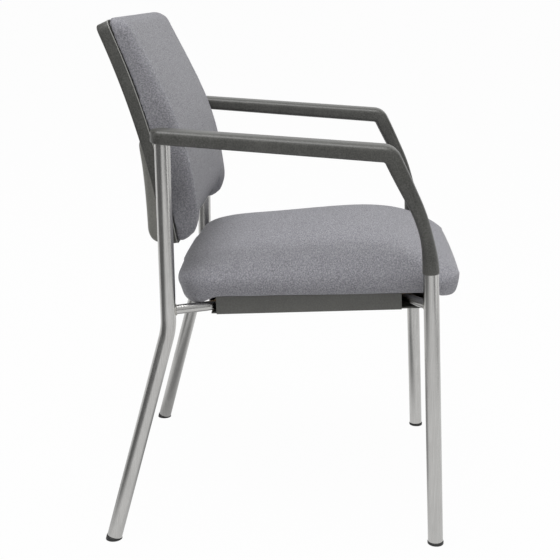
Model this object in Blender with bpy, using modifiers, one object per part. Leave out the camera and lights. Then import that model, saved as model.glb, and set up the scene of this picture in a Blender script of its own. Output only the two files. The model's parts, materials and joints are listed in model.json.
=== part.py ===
"""Four-leg visitor armchair: bent steel tube frame, moulded arms, padded seat and back.

Metres, +Z up. The chair faces -Y, and the sitter's right hand is at -X. The origin is on the floor
at the middle of the chair's footprint. Distances named BACK run rearward from the front feet.
"""
import math

import bmesh
import bpy
from mathutils import Matrix, Vector

# Fits and walls
GAP = 0.0003            # clearance between pieces that touch
FIT = 0.0005            # radial clearance of a tube in a socket and of a bolt in its hole
TUBE_R = 0.0125         # legs, outer radius
TUBE_WALL = 0.002
CROSS_R = 0.0078        # tubes under the seat, outer radius
CROSS_WALL = 0.0018
SHELL_WALL = 0.0026     # moulded shells

# Seat
SEAT_W = 0.470
SEAT_D = 0.467
SEAT_T = 0.0855         # thickness at the crown
SEAT_EDGE_T = 0.0528    # height of the dome where it meets the sides
SEAT_BULGE = 0.0242     # height at which the sides stand out furthest
SEAT_BULGE_REAR = 0.0115  # that height is this much more at the rear
SEAT_SHOULDER = 0.0446  # width of the rounding from side to top
SEAT_CREST = 0.0658     # crown, ahead of the seat's middle
SEAT_FALL_REAR = 0.65   # share of the rise that is lost at the rear edge, and at the front edge
SEAT_FALL_FRONT = 0.90
SEAT_BACK = 0.2005      # middle of the seat, behind the front feet
SEAT_Z = 0.4148         # height of the seat board's underside at that place
SEAT_TILT = math.radians(2.0)
SEAT_CORNER = 0.0755    # corners at the front, and at the rear
SEAT_CORNER_REAR = 0.0565
SEAT_BOW_FRONT = 0.0054  # how far the front and rear edges stand out in their middle
SEAT_BOW_REAR = 0.0102
SEAT_TUCK = 0.0147      # how far the cushion draws in at its lower edge
SEAT_RIM = 0.0023       # cushion rim above the board's underside, round the shell
SEAT_LIP_FRONT = 0.0213  # and how much lower it hangs at the front and at the rear
SEAT_LIP_REAR = 0.0150
SEAT_LIP_START = 0.0735  # the rim begins to hang lower this far from the front and rear ends
SEAT_LIP_REACH = 0.0735  # and does so over this length at the front, and at the rear
SEAT_LIP_REACH_REAR = 0.040
SEAT_BOARD_T = 0.012
BOARD_INSET = 0.036     # board edge to cushion side, for seat and back alike
BOARD_CORNER = 0.030

# Legs
LEG_GAP = 0.0065        # seat side to front leg
FRONT_LEAN = math.radians(3.0)
FRONT_TOP_RISE = 0.0492  # top of the front tubes above the seat board
UPRIGHT_BACK = 0.440
UPRIGHT_FLARE = math.radians(2.7)  # uprights lean outward, going up
REAR_FOOT_BACK = 0.5378
REAR_FOOT_SPLAY = 0.0291  # rear foot, outward of its upright
BEND_DROP = 0.0300      # bend of the rear leg below the rear cross tube
BEND_R = 0.120
GLIDE_H = 0.0050  # floor to tube end, on the leg's axis
GLIDE_LIP = 0.0009      # glide flange proud of the tube
GLIDE_PLUG = 0.018

# Tubes under the seat
FRONT_CROSS_BACK = 0.0625
FRONT_CROSS_RUN = 0.060  # sideways run of each slanting end
FRONT_CROSS_BEND = 0.026
REAR_CROSS_INSET = 0.0735  # rear edge of the seat to the rear tube
REAR_CROSS_RUN = 0.037
REAR_CROSS_BEND = 0.040
FRONT_SADDLE_T = 0.0015  # packing between tube and seat board
REAR_SADDLE_T = 0.0086
SADDLE_X = 0.130
SADDLE_L = 0.036
SADDLE_GRIP = 0.0045    # saddle wall on each side of the tube

# Seat shell
SHELL_HALF_W = 0.219
SHELL_FRONT = 0.1950    # ahead of the seat's middle
SHELL_TUBE_GAP = 0.008  # rear saddles to the shell's rear wall
SHELL_CORNER = 0.028    # corners at the front, and at the rear
SHELL_CORNER_REAR = 0.018
SHELL_EDGE = 0.004
SHELL_RISE = 0.0020     # top of the walls above the board's underside
SHELL_ROOM_FRONT = 0.0065  # front and rear tubes to the floor of the shell
SHELL_ROOM_REAR = 0.0022
FRONT_MOUTH = (0.134, 0.186)  # side openings for the tubes, ahead of the seat's middle
REAR_MOUTH = 0.165      # rear side openings start this far behind the seat's middle
REAR_MOUTH_X = 0.165    # and run round the corner to this far from the chair's middle

# Back
BACK_W = 0.432
BACK_H = 0.366
BACK_BACK = 0.4258      # lower edge of the back's rim, behind the front feet
BACK_RISE = 0.0812       # lower edge above the seat board
BACK_TAPER = 0.065      # share of the width that is lost towards the top
BACK_RAKE_LOW = math.radians(9.0)
BACK_RAKE_TOP = math.radians(24.2)
BACK_GAP = 0.0100  # back shell to upright
BACK_PAD_LOW = 0.036    # cushion thickness at the lower edge, the lumbar bulge and the top
BACK_PAD_LUMBAR = 0.0425
BACK_PAD_TOP = 0.0245
LUMBAR_V = 0.140        # height of the bulge along the back
BACK_CROWN = 0.0045
BACK_TOP_ROUND = 0.024  # the front face curves back over this height at the top, and at the bottom
BACK_LOW_ROUND = 0.050
BACK_PAD_RISE = 0.001   # cushion's lower edge above the shell's
BACK_ARCH = 0.018       # rise of the lower edge between its corners
BACK_ARCH_END = 0.024   # the arch ends this far from the sides
BACK_ARCH_RUN = 0.050   # and rises over this length
BACK_CORNER = 0.036     # corners of the cushion at the top, and at the bottom
BACK_CORNER_LOW = 0.024
BACK_EDGE = 0.009       # width of the rounding between the sides and the front face
BACK_WALL = 0.60        # share of the thickness below that rounding
BACK_BOARD_T = 0.010
PAN_D = 0.0205  # depth of the back shell
PAN_DROP = 0.0015       # shell's top edge below the cushion's
PAN_CORNER = 0.014
PAN_EDGE = 0.0035
PAN_FLANGE = 0.016      # rim of the shell, turned in behind the cushion
POST_R = 0.0055
PIN_R = 0.0026
PIN_L = 0.006
PAN_POSTS = ((0.150, 0.300), (0.150, 0.215))  # half spacing and height of the clip posts

# Bracket and its cover
BAR_V = 0.088
BAR_H = 0.050
BAR_T = 0.005
BAR_BOLT_INSET = 0.060  # board edge to bolt
BAR_BOLT_V = 0.014
COVER_HALF_W = 0.208
COVER_LOW = 0.002
COVER_TOP = 0.171
COVER_RISE_TOP = 0.0040  # cover proud of the shell at its top and lower edges
COVER_RISE_LOW = 0.0290
COVER_LIP = 0.0030      # height of the cover's edge where its lower end curves in
COVER_ROUND = 0.032     # radius of that curve
COVER_SIDE = 0.009      # rounding along the sides
COVER_CORNER = 0.012
COVER_WALL = 0.002
COVER_HATCH = 0.024     # cover edge to the edge of the hatch that it closes
COVER_POST_X = 0.060

# Arms
ARM_W = 0.045
ARM_T_REAR = 0.0235
ARM_T = 0.0262
ARM_HEIGHT = 0.686      # crown of the arm over the upright
ARM_FALL = 0.0625       # fall towards the front, metres a metre
ARM_TAIL = 0.018        # arm behind the upright's axis
ARM_TOP_WALL = 0.006
KNEE_BACK = 0.0927
KNEE_R = 0.018
LIMB_RISE = 0.061       # corner of the limb above the front tube
LIMB_R = 0.30
LIMB_W = 0.034          # width and thickness at the limb's waist
LIMB_T = 0.018
WAIST = 0.066           # waist above the front tube, along the limb
SOCKET_LIP = 0.0006     # arm end proud of the front tube
SPIGOT = 0.040
ARM_SCREW_R = 0.0025
ARM_SCREW_HEAD = 0.0045
ARM_SCREW_DROP = 0.018  # front screw below the tube's top

# Bolts and their T-nuts
BOLT_R = 0.003
BOLT_HEAD_R = 0.006
BOLT_HEAD_H = 0.0035
NUT_R = 0.0043
NUT_FLANGE_R = 0.009
NUT_FLANGE_T = 0.0016

# Smoothness of round pieces
TUBE_SMOOTH = 6
CROSS_SMOOTH = 4
TURN_STEPS = 10
CUT_SIDES = 24
HOLE_SIDES = 12
BACK_SLICES = 8
PAD_STEP = 0.042        # longest side of a cushion's faces along its outline

# Places worked out from the values above
FRONT_FOOT_Y = -0.2597  # puts the origin under the middle of the chair
FRONT_X = SEAT_W / 2 + LEG_GAP + TUBE_R
UPRIGHT_X = BACK_W / 2 + BACK_GAP + TUBE_R
REAR_CROSS_BACK = SEAT_BACK + SEAT_D / 2 - REAR_CROSS_INSET
BAR_BOLT_X = BACK_W / 2 - BOARD_INSET - BAR_BOLT_INSET
SIDES = (("right", -1), ("left", 1))
X_AXIS = Vector((1, 0, 0))


def behind(distance):
    """Y of a place this far behind the front feet."""
    return FRONT_FOOT_Y + distance


SEAT_FRAME = (Matrix.Translation((0, behind(SEAT_BACK), SEAT_Z))
              @ Matrix.Rotation(-SEAT_TILT, 4, "X"))


def seat_plane_z(back):
    """Height of the seat board's underside at a distance behind the front feet."""
    return SEAT_Z - (back - SEAT_BACK) * math.tan(SEAT_TILT)


FRONT_CROSS_Z = seat_plane_z(FRONT_CROSS_BACK) - FRONT_SADDLE_T - CROSS_R
REAR_CROSS_Z = seat_plane_z(REAR_CROSS_BACK) - REAR_SADDLE_T - CROSS_R
FRONT_TOP_Z = SEAT_Z + FRONT_TOP_RISE
BEND_Z = REAR_CROSS_Z - BEND_DROP
BACK_LOW_Z = SEAT_Z + BACK_RISE
PAN_H = BACK_H - PAN_DROP
SHELL_REAR = REAR_CROSS_BACK - SEAT_BACK + CROSS_R + SADDLE_GRIP + SHELL_TUBE_GAP + SHELL_WALL
UPRIGHT_TOP_Z = ARM_HEIGHT - ARM_TOP_WALL

for old in list(bpy.data.objects):
    bpy.data.objects.remove(old, do_unlink=True)
chair = bpy.data.collections.new("four_leg_armchair")
cutters = bpy.data.collections.new("cutters")
for group in (chair, cutters):
    bpy.context.scene.collection.children.link(group)


# Materials


def finish(name, colour, roughness, metallic=0.0):
    made = bpy.data.materials.new(name)
    made.use_nodes = True
    shader = made.node_tree.nodes["Principled BSDF"]
    shader.inputs["Base Color"].default_value = (*colour, 1)
    shader.inputs["Roughness"].default_value = roughness
    shader.inputs["Metallic"].default_value = metallic
    return made


STEEL = finish("satin_steel", (0.56, 0.56, 0.55), 0.35, 1.0)
ZINC = finish("zinc_plate", (0.62, 0.62, 0.60), 0.45, 1.0)
PLASTIC = finish("dark_grey_plastic", (0.085, 0.085, 0.078), 0.55)
BLACK = finish("black_plastic", (0.015, 0.015, 0.015), 0.5)
FABRIC = finish("grey_fabric", (0.27, 0.27, 0.30), 0.95)
PLY = finish("plywood", (0.55, 0.40, 0.25), 0.8)


# Mesh helpers


def put(name, mesh, look, group=chair):
    made = bpy.data.objects.new(name, mesh)
    group.objects.link(made)
    mesh.materials.clear()
    mesh.materials.append(look)
    mesh.shade_smooth()
    mesh.set_sharp_from_angle(angle=math.radians(35))
    if group is cutters:
        made.hide_render = True
        made.display_type = "WIRE"
    return made


def mesh_of(bm, name):
    bmesh.ops.recalc_face_normals(bm, faces=bm.faces[:])
    mesh = bpy.data.meshes.new(name)
    bm.to_mesh(mesh)
    bm.free()
    return mesh


def evaluated(thing):
    """The object's mesh with its modifiers, and its place, applied. The object is removed."""
    bpy.context.view_layer.update()
    graph = bpy.context.evaluated_depsgraph_get()
    mesh = bpy.data.meshes.new_from_object(thing.evaluated_get(graph))
    mesh.transform(thing.matrix_world)
    bpy.data.objects.remove(thing, do_unlink=True)
    return mesh


def combine(thing, tool, operation="DIFFERENCE"):
    step = thing.modifiers.new(operation.lower() + "_" + tool.name, "BOOLEAN")
    step.operation = operation
    step.object = tool
    return thing


def soften(thing, width, segments=2, angle=40):
    step = thing.modifiers.new("soft_edges", "BEVEL")
    step.width = width
    step.segments = segments
    step.angle_limit = math.radians(angle)
    return thing


def thicken(thing, wall):
    """Grows a wall inward from an outer skin."""
    step = thing.modifiers.new("wall", "SOLIDIFY")
    step.thickness = wall
    step.offset = -1
    step.use_even_offset = True
    return thing


def along(start, axis):
    """Matrix that stands +Z along an axis at a place."""
    return Matrix.Translation(start) @ Vector(axis).to_track_quat("Z", "Y").to_matrix().to_4x4()


def rod(name, start, end, radius, look=BLACK, group=cutters, sides=CUT_SIDES):
    """A round bar, by default one that cuts a bore."""
    axis = Vector(end) - Vector(start)
    bm = bmesh.new()
    bmesh.ops.create_cone(bm, cap_ends=True, segments=sides, radius1=radius, radius2=radius,
                          depth=axis.length)
    made = put(name, mesh_of(bm, name), look, group)
    made.matrix_world = along(Vector(start) + axis / 2, axis)
    return made


def block(name, low, high, frame=None, look=BLACK, group=cutters):
    low, high = Vector(low), Vector(high)
    bm = bmesh.new()
    bmesh.ops.create_cube(bm, size=1)
    bmesh.ops.scale(bm, vec=high - low, verts=bm.verts[:])
    bmesh.ops.translate(bm, vec=(low + high) / 2, verts=bm.verts[:])
    made = put(name, mesh_of(bm, name), look, group)
    if frame is not None:
        made.matrix_world = frame
    return made


def rounded_rectangle(half_w, low, high, corner, steps=5, far_corner=None):
    """Outline in the XY plane, anticlockwise; the corners at the high end may have their own radius."""
    far_corner = far_corner or corner
    points = []
    for sx, sy, start in ((1, 1, 0), (-1, 1, 90), (-1, -1, 180), (1, -1, 270)):
        radius = far_corner if sy > 0 else corner
        centre_x = sx * (half_w - radius)
        centre_y = (high - radius) if sy > 0 else (low + radius)
        for step in range(steps + 1):
            angle = math.radians(start + 90 * step / steps)
            points.append((centre_x + radius * math.cos(angle), centre_y + radius * math.sin(angle)))
    return points


def plate(name, outline, low, high):
    """A flat outline given a thickness from low to high."""
    curve = bpy.data.curves.new(name, "CURVE")
    curve.dimensions = "2D"
    curve.fill_mode = "BOTH"
    curve.extrude = (high - low) / 2
    spline = curve.splines.new("POLY")
    spline.points.add(len(outline) - 1)
    for point, (x, y) in zip(spline.points, outline):
        point.co = (x, y, 0, 1)
    spline.use_cyclic_u = True
    holder = bpy.data.objects.new(name, curve)
    chair.objects.link(holder)
    holder.location.z = (low + high) / 2
    mesh = evaluated(holder)
    bm = bmesh.new()
    bm.from_mesh(mesh)
    bmesh.ops.remove_doubles(bm, verts=bm.verts[:], dist=1e-6)
    return mesh_of(bm, name)


def tray(name, outline, floor, slant=0.0, lip=0.0):
    """Open skin: walls down from z = 0 round an outline, closed by a floor at height floor(y).

    With a slant, the walls drop straight for a lip and then lean in by that much to the floor."""
    bm = bmesh.new()
    middle = sum((y for _, y in outline)) / len(outline)
    reach_x = max(x for x, _ in outline)
    reach_y = max(y for _, y in outline) - middle
    loops = [[bm.verts.new((x, y, 0)) for x, y in outline]]
    if lip:
        loops.append([bm.verts.new((x, y, -lip)) for x, y in outline])
    base = []
    for x, y in outline:
        near_y = middle + (y - middle) * (1 - slant / reach_y)
        base.append(bm.verts.new((x * (1 - slant / reach_x), near_y, floor(near_y))))
    loops.append(base)
    for upper, lower in zip(loops, loops[1:]):
        for i in range(len(outline)):
            j = (i + 1) % len(outline)
            bm.faces.new((upper[i], lower[i], lower[j], upper[j]))
    bottom = bm.faces.new(base)
    bmesh.ops.recalc_face_normals(bm, faces=bm.faces[:])
    bottom.normal_update()
    if bottom.normal.z > 0:
        bmesh.ops.reverse_faces(bm, faces=bm.faces[:])
    mesh = bpy.data.meshes.new(name)
    bm.to_mesh(mesh)
    bm.free()
    return mesh


def turned(name, profile, place, look, steps=TURN_STEPS):
    """A turned piece: radius and height pairs run down the outer side, top to bottom."""
    bm = bmesh.new()
    dots = [bm.verts.new((r, 0, z)) for r, z in profile]
    for first, second in zip(dots, dots[1:]):
        bm.edges.new((first, second))
    if profile[0][0] > 0:
        bm.edges.new((dots[-1], dots[0]))
    mesh = bpy.data.meshes.new(name)
    bm.to_mesh(mesh)
    bm.free()
    made = put(name, mesh, look)
    spin = made.modifiers.new("turn", "SCREW")
    spin.steps = steps
    spin.render_steps = steps
    spin.use_merge_vertices = True
    spin.merge_threshold = 0.00001
    spin.use_smooth_shade = True
    made.matrix_world = place
    return made


def filleted(points, radii, steps=6):
    """A path through corner points, each inner corner rounded with an arc of its own radius."""
    path = [points[0]]
    for before, corner, after, radius in zip(points, points[1:], points[2:], radii):
        into = (before - corner).normalized()
        out = (after - corner).normalized()
        half = into.angle(out) / 2
        reach = min(radius / math.tan(half), 0.48 * (before - corner).length * 2,
                    0.48 * (after - corner).length * 2)
        radius = reach * math.tan(half)
        centre = corner + (into + out).normalized() * (radius / math.sin(half))
        first = corner + into * reach - centre
        last = corner + out * reach - centre
        turn = first.angle(last)
        for step in range(steps + 1):
            t = step / steps
            spoke = (first * math.sin((1 - t) * turn) + last * math.sin(t * turn)) / math.sin(turn)
            path.append(centre + spoke)
    path.append(points[-1])
    return path


def sweep(name, path, radius, smooth, closed):
    """Mesh of a round section carried along a path."""
    curve = bpy.data.curves.new(name, "CURVE")
    curve.dimensions = "3D"
    curve.bevel_depth = radius
    curve.bevel_resolution = smooth
    curve.use_fill_caps = closed
    spline = curve.splines.new("POLY")
    spline.points.add(len(path) - 1)
    for point, place in zip(spline.points, path):
        point.co = (*place, 1)
    holder = bpy.data.objects.new(name, curve)
    chair.objects.link(holder)
    return evaluated(holder)


def tube(name, path, radius, wall, smooth=TUBE_SMOOTH):
    """A bent steel tube, open at both ends."""
    return thicken(put(name, sweep(name, path, radius, smooth, False), STEEL), wall)


def blend(t):
    """Smooth step from 0 to 1."""
    t = min(max(t, 0.0), 1.0)
    return t * t * (3 - 2 * t)


# Legs and glides


def front_axis(side, z):
    """Place on a front leg's axis."""
    return Vector((side * FRONT_X, behind(z * math.tan(FRONT_LEAN)), z))


def rear_foot(side):
    return Vector((side * (UPRIGHT_X + REAR_FOOT_SPLAY), behind(REAR_FOOT_BACK), 0))


def upright(side, z):
    """Place on an upright's axis, at the bend or above it."""
    return Vector((side * (UPRIGHT_X + (z - BEND_Z) * math.tan(UPRIGHT_FLARE)), behind(UPRIGHT_BACK), z))


def add_leg(name, path, drill):
    leg = tube(name, path, TUBE_R, TUBE_WALL)
    axis = (path[1] - path[0]).normalized()
    turned_down = along(path[0], -axis)
    plug = TUBE_R - TUBE_WALL - GAP
    lip = TUBE_R + GLIDE_LIP
    deep = GLIDE_H + 2 * TUBE_R
    profile = [(0, deep), (lip, deep), (lip, GAP), (plug, GAP), (plug, -GLIDE_PLUG), (0, -GLIDE_PLUG)]
    glide = turned("glide_" + name.replace("_leg", ""), profile, turned_down, BLACK, 20)
    reach = 4 * TUBE_R
    foot = path[0]
    combine(glide, block("floor_" + name, (foot.x - reach, foot.y - reach, -reach),
                         (foot.x + reach, foot.y + reach, 0)))
    return combine(leg, drill)


def add_legs():
    for word, side in SIDES:
        foot = front_axis(side, 0)
        up = (front_axis(side, 1) - foot).normalized()
        top = front_axis(side, FRONT_TOP_Z)
        hole = front_axis(side, FRONT_TOP_Z - ARM_SCREW_DROP)
        drill = rod("front_hole_" + word, hole, hole - Vector((side * 2 * TUBE_R, 0, 0)),
                    ARM_SCREW_R + FIT, sides=HOLE_SIDES)
        add_leg("front_leg_" + word, [foot + up * (GLIDE_H / up.z), top], drill)

        foot = rear_foot(side)
        bend = upright(side, BEND_Z)
        lean = (bend - foot).normalized()
        path = [foot + lean * (GLIDE_H / lean.z), bend, upright(side, UPRIGHT_TOP_Z)]
        hole = upright(side, (UPRIGHT_TOP_Z + ARM_HEIGHT - ARM_T_REAR) / 2)
        drill = rod("rear_hole_" + word, hole, hole - Vector((side * 2 * TUBE_R, 0, 0)),
                    ARM_SCREW_R + FIT, sides=HOLE_SIDES)
        add_leg("rear_leg_" + word, filleted(path, [BEND_R]), drill)


# Tubes under the seat and the saddles on them


def cross_path(end, back, z, run, bend):
    """Centre line of a tube from leg to leg, whose ends slant to the legs."""
    first, last = end(-1, z), end(1, z)
    inner = last.x - run
    path = [first, Vector((-inner, behind(back), z)), Vector((inner, behind(back), z)), last]
    return filleted(path, [bend, bend], 5)


def front_cross_path():
    return cross_path(front_axis, FRONT_CROSS_BACK, FRONT_CROSS_Z, FRONT_CROSS_RUN, FRONT_CROSS_BEND)


def rear_cross_path():
    return cross_path(upright, REAR_CROSS_BACK, REAR_CROSS_Z, REAR_CROSS_RUN, REAR_CROSS_BEND)


def add_cross_tube(name, path, end, back, z):
    """A tube under the seat, coped round the legs at its ends."""
    bar = tube(name, path, CROSS_R, CROSS_WALL, CROSS_SMOOTH)
    reach = 4 * CROSS_R
    for word, side in SIDES:
        combine(bar, rod(f"cope_{name}_{word}", end(side, z - reach), end(side, z + reach), TUBE_R + GAP))
        bolt = SEAT_FRAME.inverted() @ Vector((side * SADDLE_X, behind(back), z))
        low = SEAT_FRAME @ (bolt - Vector((0, 0, 2 * CROSS_R)))
        high = SEAT_FRAME @ (bolt + Vector((0, 0, 2 * CROSS_R)))
        combine(bar, rod(f"drill_{name}_{word}", low, high, BOLT_R + FIT, sides=HOLE_SIDES))
    return bar


def add_saddles(place, back, z):
    """Grooved blocks that carry the seat board on a cross tube."""
    middle = SEAT_FRAME.inverted() @ Vector((0, behind(back), z))
    half = CROSS_R + SADDLE_GRIP
    for word, side in SIDES:
        x = side * SADDLE_X
        name = f"seat_saddle_{place}_{word}"
        saddle = block(name, (x - SADDLE_L / 2, middle.y - half, middle.z + GAP),
                       (x + SADDLE_L / 2, middle.y + half, -GAP), SEAT_FRAME, BLACK, chair)
        soften(saddle, 0.001, 1)
        reach = Vector((SADDLE_L, 0, 0))
        spot = Vector((x, behind(back), z))
        combine(saddle, rod("groove_" + name, spot - reach, spot + reach, CROSS_R + GAP * 2))
        low = SEAT_FRAME @ Vector((x, middle.y, middle.z))
        high = SEAT_FRAME @ Vector((x, middle.y, GAP + CROSS_R))
        combine(saddle, rod("bore_" + name, low, high, BOLT_R + FIT, sides=HOLE_SIDES))


def add_cross_tubes():
    add_cross_tube("front_cross_tube", front_cross_path(), front_axis, FRONT_CROSS_BACK, FRONT_CROSS_Z)
    add_cross_tube("rear_cross_tube", rear_cross_path(), upright, REAR_CROSS_BACK, REAR_CROSS_Z)
    add_saddles("front", FRONT_CROSS_BACK, FRONT_CROSS_Z)
    add_saddles("rear", REAR_CROSS_BACK, REAR_CROSS_Z)


# Bolts and T-nuts


def add_bolt(name, seat, axis, grip):
    """A bolt whose head bears at a place and whose shank runs along an axis."""
    profile = [(0, grip), (BOLT_R, grip), (BOLT_R, 0), (BOLT_HEAD_R, 0),
               (BOLT_HEAD_R, -0.6 * BOLT_HEAD_H), (0.7 * BOLT_HEAD_R, -BOLT_HEAD_H), (0, -BOLT_HEAD_H)]
    return turned(name, profile, along(seat, axis), ZINC)


def add_nut(name, face, axis, deep):
    """A T-nut: its flange lies flush in a board's far face, and its barrel reaches back through it."""
    bore = BOLT_R + GAP
    profile = [(bore, 0), (NUT_FLANGE_R, 0), (NUT_FLANGE_R, -NUT_FLANGE_T), (NUT_R, -NUT_FLANGE_T),
               (NUT_R, -deep), (bore, -deep)]
    return turned(name, profile, along(face, axis), ZINC)


def nut_pocket(name, face, axis, deep):
    """Cutter for a T-nut in a board."""
    wide = NUT_FLANGE_R + GAP * 2
    slim = NUT_R + GAP * 2
    seat = -NUT_FLANGE_T - GAP * 2
    profile = [(0, deep), (wide, deep), (wide, seat), (slim, seat), (slim, -2 * deep), (0, -2 * deep)]
    made = turned(name, profile, along(face, axis), BLACK, HOLE_SIDES + 2)
    chair.objects.unlink(made)
    cutters.objects.link(made)
    made.hide_render = True
    made.display_type = "WIRE"
    return made


# Seat


def seat_bolt_spots():
    """Name, local place on the board's underside and place of the tube, for each seat bolt."""
    for place, back, z in (("front", FRONT_CROSS_BACK, FRONT_CROSS_Z),
                           ("rear", REAR_CROSS_BACK, REAR_CROSS_Z)):
        middle = SEAT_FRAME.inverted() @ Vector((0, behind(back), z))
        for word, side in SIDES:
            yield f"{place}_{word}", Vector((side * SADDLE_X, middle.y, 0)), middle.z


def shell_floor(y):
    """Outer underside of the seat shell, which passes below both cross tubes."""
    spots = [SEAT_FRAME.inverted() @ Vector((0, behind(back), z))
             for back, z in ((FRONT_CROSS_BACK, FRONT_CROSS_Z - SHELL_ROOM_FRONT),
                             (REAR_CROSS_BACK, REAR_CROSS_Z - SHELL_ROOM_REAR))]
    fall = (spots[1].z - spots[0].z) / (spots[1].y - spots[0].y)
    return spots[0].z + fall * (y - spots[0].y) - CROSS_R - SHELL_WALL


def spaced(points, step):
    """A closed outline with extra points along its long sides."""
    found = []
    for (x, y), (next_x, next_y) in zip(points, points[1:] + points[:1]):
        parts = max(1, round(math.hypot(next_x - x, next_y - y) / step))
        for i in range(parts):
            found.append((x + (next_x - x) * i / parts, y + (next_y - y) * i / parts))
    return found


def pad_mesh(name, outline, levels):
    """A closed pad: loops of one outline drawn in towards its middle, from underneath to the top.

    Each level has a draw-in, from 0 at the outline to 1 in the middle, and a place for its points."""
    bm = bmesh.new()
    middle = (max(y for _, y in outline) + min(y for _, y in outline)) / 2
    loops = []
    for draw, place in levels:
        keep = 1 - draw
        loops.append([bm.verts.new(place(x * keep, middle + (y - middle) * keep)) for x, y in outline])
    for first, second in zip(loops, loops[1:]):
        for i in range(len(outline)):
            j = (i + 1) % len(outline)
            bm.faces.new((first[i], first[j], second[j], second[i]))
    for loop, (_, place) in ((loops[0], levels[0]), (loops[-1], levels[-1])):
        tip = bm.verts.new(place(0, middle))
        for i in range(len(outline)):
            bm.faces.new((loop[i], loop[(i + 1) % len(outline)], tip))
    return mesh_of(bm, name)


def seat_low(y):
    """Height of the cushion's lower rim, which hangs down at the front and at the rear."""
    half = SEAT_D / 2
    start = half - SEAT_LIP_START
    front = SEAT_LIP_FRONT * blend((-y - start) / SEAT_LIP_REACH)
    rear = SEAT_LIP_REAR * blend((y - start) / SEAT_LIP_REACH_REAR)
    return SEAT_RIM - front - rear


def seat_bulge(y):
    return SEAT_BULGE + SEAT_BULGE_REAR * blend(2 * y / SEAT_D)


def seat_height(y, draw):
    """Height of the cushion's domed top, which falls away to the front and to the rear."""
    half = SEAT_D / 2
    bulge = seat_bulge(y / (1 - draw))
    dome = SEAT_T - (SEAT_T - SEAT_EDGE_T) * (1 - draw) ** 2
    past = 1 - min(draw * half / SEAT_SHOULDER, 1.0)
    rise = (dome - bulge) * (1 - past ** 2.2) ** (1 / 2.2)
    if y > -SEAT_CREST:
        rise *= 1 - SEAT_FALL_REAR * ((y + SEAT_CREST) / (half + SEAT_CREST)) ** 1.5
    else:
        rise *= 1 - SEAT_FALL_FRONT * ((-SEAT_CREST - y) / (half - SEAT_CREST)) ** 2.4
    return bulge + rise


def seat_rim():
    """Plan of the seat cushion, with its front and rear edges bowed."""
    half_x, half_y = SEAT_W / 2, SEAT_D / 2
    corners = rounded_rectangle(half_x, -half_y, half_y, SEAT_CORNER, 6, SEAT_CORNER_REAR)
    rim = []
    for x, y in spaced(corners, PAD_STEP):
        bow = SEAT_BOW_REAR if y > 0 else SEAT_BOW_FRONT
        rim.append((x, y * (1 - bow / half_y * (x / half_x) ** 2)))
    return rim


def seat_levels():
    """Loops of the seat cushion, from the flat underside round the rim and over the top."""
    yield 0.5, lambda x, y: (x, y, 0)
    yield 0.16, lambda x, y: (x, y, 0)
    for part in (1.0, 0.8, 0.5, 0.2):
        share = math.sin(part * math.pi / 2)
        yield (2 * SEAT_TUCK / SEAT_D * part ** 2.2,
               lambda x, y, share=share: (x, y, seat_bulge(y) * (1 - share) + seat_low(y) * share))
    for draw in (0.0, 0.006, 0.024, 0.06, 0.11, 0.17, 0.30, 0.46, 0.66, 0.85):
        yield draw, lambda x, y, draw=draw: (x, y, seat_height(y, draw))


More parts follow.
